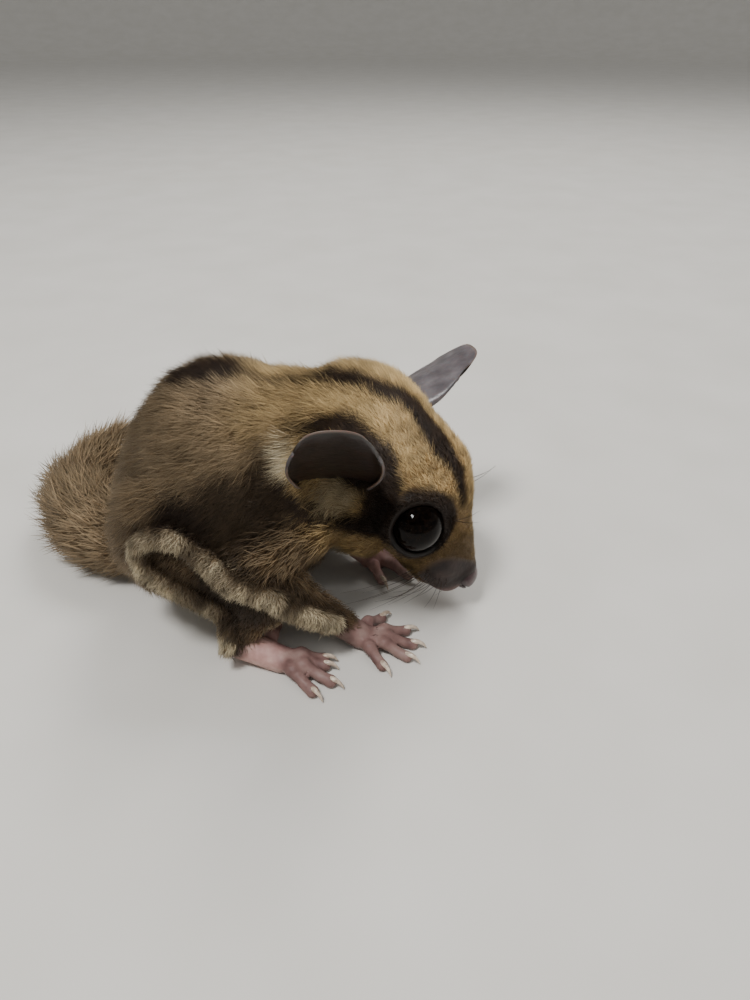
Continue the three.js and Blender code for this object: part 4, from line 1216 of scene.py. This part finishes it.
def ear_sheet(name):
    """Both faces of an ear's thin cup as grids in the head's frame, and how far in from the margin."""
    lean, opening = EARS[name]
    long = unit(lean)
    out = unit(opening - long * (opening @ long))
    wide = np.cross(long, out)
    root = mirrored(EAR_AT, SIDES[name]) - long * EAR_SINK
    u, v = np.meshgrid(np.linspace(0, 1, 49), np.linspace(0, 1, 41), indexing="ij")
    edge = 2 * u - 1
    turn = edge * np.radians(mix(128, 84, np.minimum(1, v * 1.2)))
    full = mix(0.55, 1, np.sin(np.pi * np.minimum(1, 0.1 + v * 0.75)))
    folds = 0.06 * np.sin(v * 17 + 2 * edge) * edge ** 2
    folds = folds + 0.35 * within(np.abs(edge - 0.35), 0.1, 0.3) * (1 - v)
    grid = (root + wide * (EAR_WIDTH / 2 * full * np.sin(turn))[..., None]
            + out * (EAR_DEPTH * full * (0.5 - np.cos(turn)) - 1.4 * v ** 3 + folds)[..., None]
            + long * ((EAR_LENGTH + EAR_SINK) * v * (1 - 0.32 * np.abs(edge) ** 3 * v ** 2))[..., None])
    normal = unit(np.cross(np.gradient(grid, axis=0), np.gradient(grid, axis=1)))
    margin = np.minimum.reduce([u, 1 - u, 1 - v])
    thick = mix(0.85, 0.45, v) * mix(0.22, 1, np.minimum(1, margin * 12) ** 0.6)
    inner_first = normal[len(u) // 2, len(u[0]) // 2] @ opening > 0
    faces = [grid + normal * (thick / 2)[..., None], grid - normal * (thick / 2)[..., None]]
    return faces, inner_first, margin


def make_ears():
    material, tree = new_finish("Thin bare ear skin")  # leathery, faintly waxy and slightly uneven
    face = add_node(tree, "ShaderNodeAttribute", {"attribute_name": "face"})
    parts = add_node(tree, "ShaderNodeSeparateColor", None, Color=face.outputs["Color"]).outputs
    # The second palette, for the inner face of the cup, is near black. It is partly the ear's own dark skin
    # and partly painted shade of the hollow.
    uneven, back, inside = mottled(tree, 2.381, 5.0,
                                   [(0.3, "#4a4547"), (0.5, "#5a5456"), (0.75, "#6f696a")],
                                   [(0.3, "#0f0806"), (0.7, "#20130f")])
    colour = layered(tree, linear("#6c5d54"), (layered(tree, back, (inside, parts["Red"])), parts["Green"]))
    bump = add_node(tree, "ShaderNodeBump", None, Height=uneven, Strength=0.5, Distance=0.4 * MM)
    surfaced(tree, Base_Color=colour, Normal=bump.outputs[0], Roughness=0.33, Subsurface_Weight=0.1,
             Subsurface_Scale=1 * MM)
    for name in SIDES:
        (one, other), inner_first, margin = ear_sheet(name)
        nu, nv = margin.shape

        def at(i, j, face):
            return face * nu * nv + i * nv + j

        i, j = (a.ravel() for a in np.meshgrid(np.arange(nu - 1), np.arange(nv - 1), indexing="ij"))
        k, m = np.arange(nu - 1), np.arange(nv - 1)
        quads = [
            (at(i, j, 0), at(i + 1, j, 0), at(i + 1, j + 1, 0), at(i, j + 1, 0)),
            (at(i, j, 1), at(i, j + 1, 1), at(i + 1, j + 1, 1), at(i + 1, j, 1)),
            (at(k, 0, 0), at(k, 0, 1), at(k + 1, 0, 1), at(k + 1, 0, 0)),
            (at(k + 1, nv - 1, 0), at(k + 1, nv - 1, 1), at(k, nv - 1, 1), at(k, nv - 1, 0)),
            (at(nu - 1, m, 0), at(nu - 1, m, 1), at(nu - 1, m + 1, 1), at(nu - 1, m + 1, 0)),
            (at(0, m + 1, 0), at(0, m + 1, 1), at(0, m, 1), at(0, m, 0)),
        ]
        vertices = from_head(np.concatenate([one.reshape(-1, 3), other.reshape(-1, 3)]))
        inner = np.repeat([float(inner_first), float(not inner_first)], nu * nv)
        rim = np.tile(np.minimum(1, margin * 60).ravel(), 2)
        face_marks = np.stack([inner, rim, np.zeros(len(rim)), np.ones(len(rim))], 1)
        faces = np.vstack([np.stack(quad, 1) for quad in quads])
        piece = mesh_piece("ear_skin_" + name, vertices, faces, material, {"face": face_marks})
        settle(piece, "ear_skin", "ear_" + name)


def strand_tree():
    """Round strands that taper from root to tip, along lines whose points say how far along they are."""
    tree = bpy.data.node_groups.new("Tapered strands", "GeometryNodeTree")
    tree.interface.new_socket("Geometry", in_out="OUTPUT", socket_type="NodeSocketGeometry")
    inputs = {"Geometry": "Geometry", "Root radius": "Float", "Tip radius": "Float", "Fullness": "Float",
              "Sides": "Int", "Finish": "Material"}
    for name, kind in inputs.items():
        tree.interface.new_socket(name, in_out="INPUT", socket_type="NodeSocket" + kind)
    given = tree.nodes.new("NodeGroupInput").outputs
    along = add_node(tree, "GeometryNodeInputNamedAttribute", {"data_type": "FLOAT"}, Name="along")
    shape = add_node(tree, "ShaderNodeMath", {"operation": "POWER"}, i0=along.outputs[0],
                     i1=given["Fullness"])
    width = add_node(tree, "ShaderNodeMapRange", None, Value=shape.outputs[0], To_Min=given["Root radius"],
                     To_Max=given["Tip radius"])
    line = add_node(tree, "GeometryNodeMeshToCurve", None, Mesh=given["Geometry"])
    section = add_node(tree, "GeometryNodeCurvePrimitiveCircle", None, Resolution=given["Sides"], Radius=1.0)
    tube = add_node(tree, "GeometryNodeCurveToMesh", None, Curve=line.outputs[0],
                    Profile_Curve=section.outputs[0], Scale=width.outputs[0], Fill_Caps=True)
    smooth = add_node(tree, "GeometryNodeSetShadeSmooth", None, Geometry=tube.outputs[0])
    real = add_node(tree, "GeometryNodeRealizeInstances", None, Geometry=smooth.outputs[0])
    finish = add_node(tree, "GeometryNodeSetMaterial", None, Geometry=real.outputs[0],
                      Material=given["Finish"])
    result = tree.nodes.new("NodeGroupOutput")
    tree.links.new(finish.outputs[0], result.inputs[0])
    return tree


def strands(name, lines, material, root, tip, fullness, sides):
    """A mesh piece of tapered strands along middle lines in millimetres."""
    count, steps = lines.shape[:2]
    mesh = bpy.data.meshes.new(name)
    edges = [(i * steps + s, i * steps + s + 1) for i in range(count) for s in range(steps - 1)]
    mesh.from_pydata(placed(lines.reshape(-1, 3)).tolist(), edges, [])
    along = mesh.attributes.new("along", "FLOAT", "POINT")
    along.data.foreach_set("value", np.tile(np.linspace(0, 1, steps), count).astype(np.float32))
    drawn = linked(name + "_lines", mesh)
    modifier = drawn.modifiers.new("Strands", "NODES")
    modifier.node_group = bpy.data.node_groups.get("Tapered strands") or strand_tree()
    values = {"Root radius": root * MM, "Tip radius": tip * MM, "Fullness": fullness, "Sides": sides,
              "Finish": material}
    for item in modifier.node_group.interface.items_tree:
        if item.in_out == "INPUT" and item.name in values:
            modifier[item.identifier] = values[item.name]
    evaluated = drawn.evaluated_get(bpy.context.evaluated_depsgraph_get())
    finished = bpy.data.meshes.new_from_object(evaluated)
    finished.name = name
    piece = linked(name, finished)
    bpy.data.objects.remove(drawn)
    return piece


# The radii at root and tip in millimetres, how long a strand keeps the root's, and how many sides it has
CLAW = {"root": 0.5, "tip": 0.07, "fullness": 1.6, "sides": 10}
WHISKER = {"root": 0.06, "tip": 0.012, "fullness": 1, "sides": 5}


def make_claws():
    material, tree = new_finish("Pale horn")  # keratin: smooth and glossy, darker in blotches
    _, colour = mottled(tree, 0.833, 2.0, [(0.3, "#a08a78"), (0.7, "#ddcdb8")])
    surfaced(tree, Base_Color=colour, Roughness=0.3, Coat_Weight=0.3)
    for name, (_, _, claws) in paws():
        lines = np.array([spline(line, 9) for line in claws])
        settle(strands("claws_" + name, lines, material, **CLAW), "bare_skin")


def make_whiskers():
    material, tree = new_finish("Stiff dark whisker hair")  # thick hair, with a thin line of gloss
    _, colour = mottled(tree, 3.333, 2.0, [(0.3, "#1b1410"), (0.8, "#4a3a2c")])
    surfaced(tree, Base_Color=colour, Roughness=0.35)
    draw = np.random.default_rng(5)
    t = np.linspace(0, 1, 10)[:, None]
    lines = []
    for side in (1, -1):
        follicles = [(row, n) for row in range(4) for n in range(4 if row < 3 else 3)]
        for row, n in follicles:
            start = vec(NOSE_REACH - 4.4 - 1.7 * n - 0.3 * row, side * 6, -2.7 - 1.05 * row)
            start = start + draw.normal(0, 0.25, 3)
            start, out = BODY.snapped(from_head(start[None]), 6, 6)
            way = HEAD_AXES @ vec(-0.3 - 0.12 * n, 0.5 * side, -0.1 - 0.24 * row) + 0.12 * draw.normal(size=3)
            way = unit(out[0] + way)
            reach = mix(6, 14, n / 3) * draw.uniform(0.7, 1.15)
            droop = (HEAD_AXES @ vec(-0.24, 0, -0.1) + 0.07 * draw.normal(size=3)) * reach
            line = start - out * 0.3 + way * reach * t + droop * t * t
            line[:, 2] = np.maximum(line[:, 2], 0.2)
            lines.append(line)
        for brow in range(2):
            start, out = BODY.snapped(from_head(vec(11.5 + brow, side * (6.5 - brow * 0.7), 7)[None]), 6, 6)
            way = unit(out[0] + HEAD_AXES @ vec(-0.2, 0.3 * side, 0.35))
            bow = HEAD_AXES @ vec(-1.5, 0, 0.3)
            lines.append(start - out * 0.3 + way * draw.uniform(5, 7) * t + bow * t * t)
    settle(strands("whiskers", np.array(lines), material, **WHISKER), "coat")


# Stage


FLOOR_REACH, FLOOR_BEND, WALL_TOP = 1.6, 0.6, 1.4  # in metres: flat, then bent up into a wall


def make_floor():
    """A plain floor that runs up into a wall all round, with no edge in sight."""
    material, tree = new_finish("Matt painted board")  # pale, even and nearly without gloss
    _, colour = mottled(tree, 25, 2.0, [(0.3, "#c9c5bd"), (0.7, "#cfcbc4")])
    surfaced(tree, Base_Color=colour, Roughness=0.8)
    bm = bmesh.new()
    bend = np.linspace(0, math.pi / 2, 13)
    curve = zip(FLOOR_REACH + FLOOR_BEND * np.sin(bend), FLOOR_BEND - FLOOR_BEND * np.cos(bend))
    profile = [(0, 0), *curve, (FLOOR_REACH + FLOOR_BEND, WALL_TOP)]
    points = [bm.verts.new((x, 0, z)) for x, z in profile]
    edges = [bm.edges.new(pair) for pair in zip(points[:-1], points[1:])]
    bmesh.ops.spin(bm, geom=points + edges, axis=(0, 0, 1), cent=(0, 0, 0), steps=96, angle=2 * math.pi)
    bmesh.ops.remove_doubles(bm, verts=bm.verts, dist=0.0001)
    bmesh.ops.recalc_face_normals(bm, faces=bm.faces)
    for face in bm.faces:
        face.smooth = True
    mesh = bpy.data.meshes.new("floor")
    bm.to_mesh(mesh)
    bm.free()
    mesh.materials.append(material)
    floor = linked("floor", mesh)
    floor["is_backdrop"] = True


LAMPS = [  # name, place from the middle of the animal in metres, side, and power as a share of the key's
    ("key", (-0.18, -0.22, 0.62), 0.13, 1),
    ("fill", (0.5, -0.3, 0.5), 0.5, 0.25),
    ("rim", (0.15, 0.42, 0.62), 0.3, 0.8),
]


def light_stage(settings):
    """Even light from the room and three soft lamps, of which only the key glints."""
    world = bpy.data.worlds.new("Soft room light")
    world.use_nodes = True
    world.node_tree.nodes["Background"].inputs[0].default_value = linear("#e8ebee")
    world.node_tree.nodes["Background"].inputs[1].default_value = settings.room_light
    world.cycles_visibility.glossy = False
    bpy.context.scene.world = world
    target = Vector(placed(vec(8, -4, 18)))
    for name, offset, size, share in LAMPS:
        light = bpy.data.lights.new(name, "AREA")
        light.size = size
        light.energy = settings.key_light * share
        lamp = linked(name, light)
        lamp.location = target + Vector(offset)
        lamp.rotation_euler = (target - lamp.location).to_track_quat("-Z", "Y").to_euler()
        lamp.visible_glossy = name == "key"


def aim_camera(settings):
    camera = bpy.data.cameras.new("camera")
    camera.sensor_width = 36
    camera.lens = settings.lens
    camera.clip_start = 0.005
    holder = linked("camera", camera)
    holder.location = Vector(placed(np.array(settings.camera_at)))
    holder.rotation_euler = (math.pi / 2 - settings.camera_tilt, 0, 0)
    bpy.context.scene.camera = holder


def make_stage():
    settings = bpy.context.scene.glider_stage
    make_floor()
    light_stage(settings)
    aim_camera(settings)


# Settings, operators and panel


def colour_setting(name, code, text):
    return FloatVectorProperty(name=name, description=text, default=linear(code)[:3], subtype="COLOR",
                               min=0, max=1)


class GliderSkinSettings(bpy.types.PropertyGroup):
    cell: FloatProperty(name="Cell", description="Side of the skin's largest faces, in millimetres",
                        default=0.7, min=0.4)


class GliderCoatSettings(bpy.types.PropertyGroup):
    stand: FloatProperty(name="Stand", description="How steeply the strands rise from the skin",
                         default=math.radians(27), subtype="ANGLE", unit="ROTATION")
    unruly: FloatProperty(name="Unruly", description="How far the strands stray from the lie",
                          default=math.radians(32), subtype="ANGLE", unit="ROTATION")
    clumping: FloatProperty(name="Clumping", description="How far the tips draw together", default=0.6,
                            subtype="FACTOR", min=0, max=1)


class GliderColourSettings(bpy.types.PropertyGroup):
    agouti: colour_setting("Back and flanks", "#a59173", "Tips of the grizzled coat")
    golden: colour_setting("Head", "#c8ad7b", "Tips of the golden coat of the head")
    cream: colour_setting("Belly and fringe", "#e0d3b4", "Tips of the pale coat")
    dark: colour_setting("Stripes", "#33261b", "Tips of the dark coat")


class GliderStageSettings(bpy.types.PropertyGroup):
    room_light: FloatProperty(name="Room light", description="Strength of the even light all round",
                              default=0.6)
    key_light: FloatProperty(name="Key light", description="Power of the main soft light, in watts",
                             default=4.2)
    lens: FloatProperty(name="Lens", description="Focal length on a 36 mm frame", default=25.2)
    camera_tilt: FloatProperty(name="Tilt", description="How far the camera looks down",
                               default=math.radians(35), subtype="ANGLE", unit="ROTATION")
    camera_at: FloatVectorProperty(name="Camera", description="Its place in the body's frame, in millimetres",
                                   default=(20.0, -97.0, 85.3))


class GLIDER_OT_skin(bpy.types.Operator):
    """Build the one skin over the flesh"""

    bl_idname = "glider.skin"
    bl_label = "Build skin"

    def execute(self, context):
        make_skin()
        return {"FINISHED"}


class GLIDER_OT_coat(bpy.types.Operator):
    """Grow the coat's tufts from the skin"""

    bl_idname = "glider.coat"
    bl_label = "Grow coat"

    def execute(self, context):
        make_coat()
        return {"FINISHED"}


class GLIDER_OT_eyes(bpy.types.Operator):
    """Build the eyes and the rims of their lids"""

    bl_idname = "glider.eyes"
    bl_label = "Build eyes"

    def execute(self, context):
        make_eyes()
        make_lids()
        return {"FINISHED"}


class GLIDER_OT_nose(bpy.types.Operator):
    """Build the bare nose pad"""

    bl_idname = "glider.nose"
    bl_label = "Build nose"

    def execute(self, context):
        make_nose()
        return {"FINISHED"}


class GLIDER_OT_ears(bpy.types.Operator):
    """Build the thin cups of the ears"""

    bl_idname = "glider.ears"
    bl_label = "Build ears"

    def execute(self, context):
        make_ears()
        return {"FINISHED"}


class GLIDER_OT_claws(bpy.types.Operator):
    """Build the claws of hands and feet"""

    bl_idname = "glider.claws"
    bl_label = "Build claws"

    def execute(self, context):
        make_claws()
        return {"FINISHED"}


class GLIDER_OT_whiskers(bpy.types.Operator):
    """Build the whiskers"""

    bl_idname = "glider.whiskers"
    bl_label = "Build whiskers"

    def execute(self, context):
        make_whiskers()
        return {"FINISHED"}


class GLIDER_OT_stage(bpy.types.Operator):
    """Set the floor, lights and camera"""

    bl_idname = "glider.stage"
    bl_label = "Set stage"

    def execute(self, context):
        make_stage()
        return {"FINISHED"}


SETTINGS = {"glider_skin": GliderSkinSettings, "glider_coat": GliderCoatSettings,
            "glider_colours": GliderColourSettings, "glider_stage": GliderStageSettings}
OPERATORS = [GLIDER_OT_skin, GLIDER_OT_coat, GLIDER_OT_eyes, GLIDER_OT_nose, GLIDER_OT_ears, GLIDER_OT_claws,
             GLIDER_OT_whiskers, GLIDER_OT_stage]


class GLIDER_PT_panel(bpy.types.Panel):
    """The glider's pieces and settings"""

    bl_idname = "GLIDER_PT_panel"
    bl_label = "Sugar glider"
    bl_space_type = "VIEW_3D"
    bl_region_type = "UI"
    bl_category = "Glider"

    def draw(self, context):
        for key, group in SETTINGS.items():
            for name in group.__annotations__:
                self.layout.prop(getattr(context.scene, key), name)
        for each in OPERATORS:
            self.layout.operator(each.bl_idname)


CLASSES = [*SETTINGS.values(), *OPERATORS, GLIDER_PT_panel]


def register():
    for each in CLASSES:
        bpy.utils.register_class(each)
    for key, group in SETTINGS.items():
        setattr(bpy.types.Scene, key, PointerProperty(type=group))


def unregister():
    for key in SETTINGS:
        delattr(bpy.types.Scene, key)
    for each in reversed(CLASSES):
        bpy.utils.unregister_class(each)


def main():
    register()
    for each in OPERATORS:
        group, name = each.bl_idname.split(".")
        getattr(getattr(bpy.ops, group), name)()
    boxes = {"cad": CAD_BOX, "visual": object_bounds()}
    {key: [[float(v) for v in corner] for corner in box] for key, box in boxes.items()}


if __name__ == "__main__":
    main()
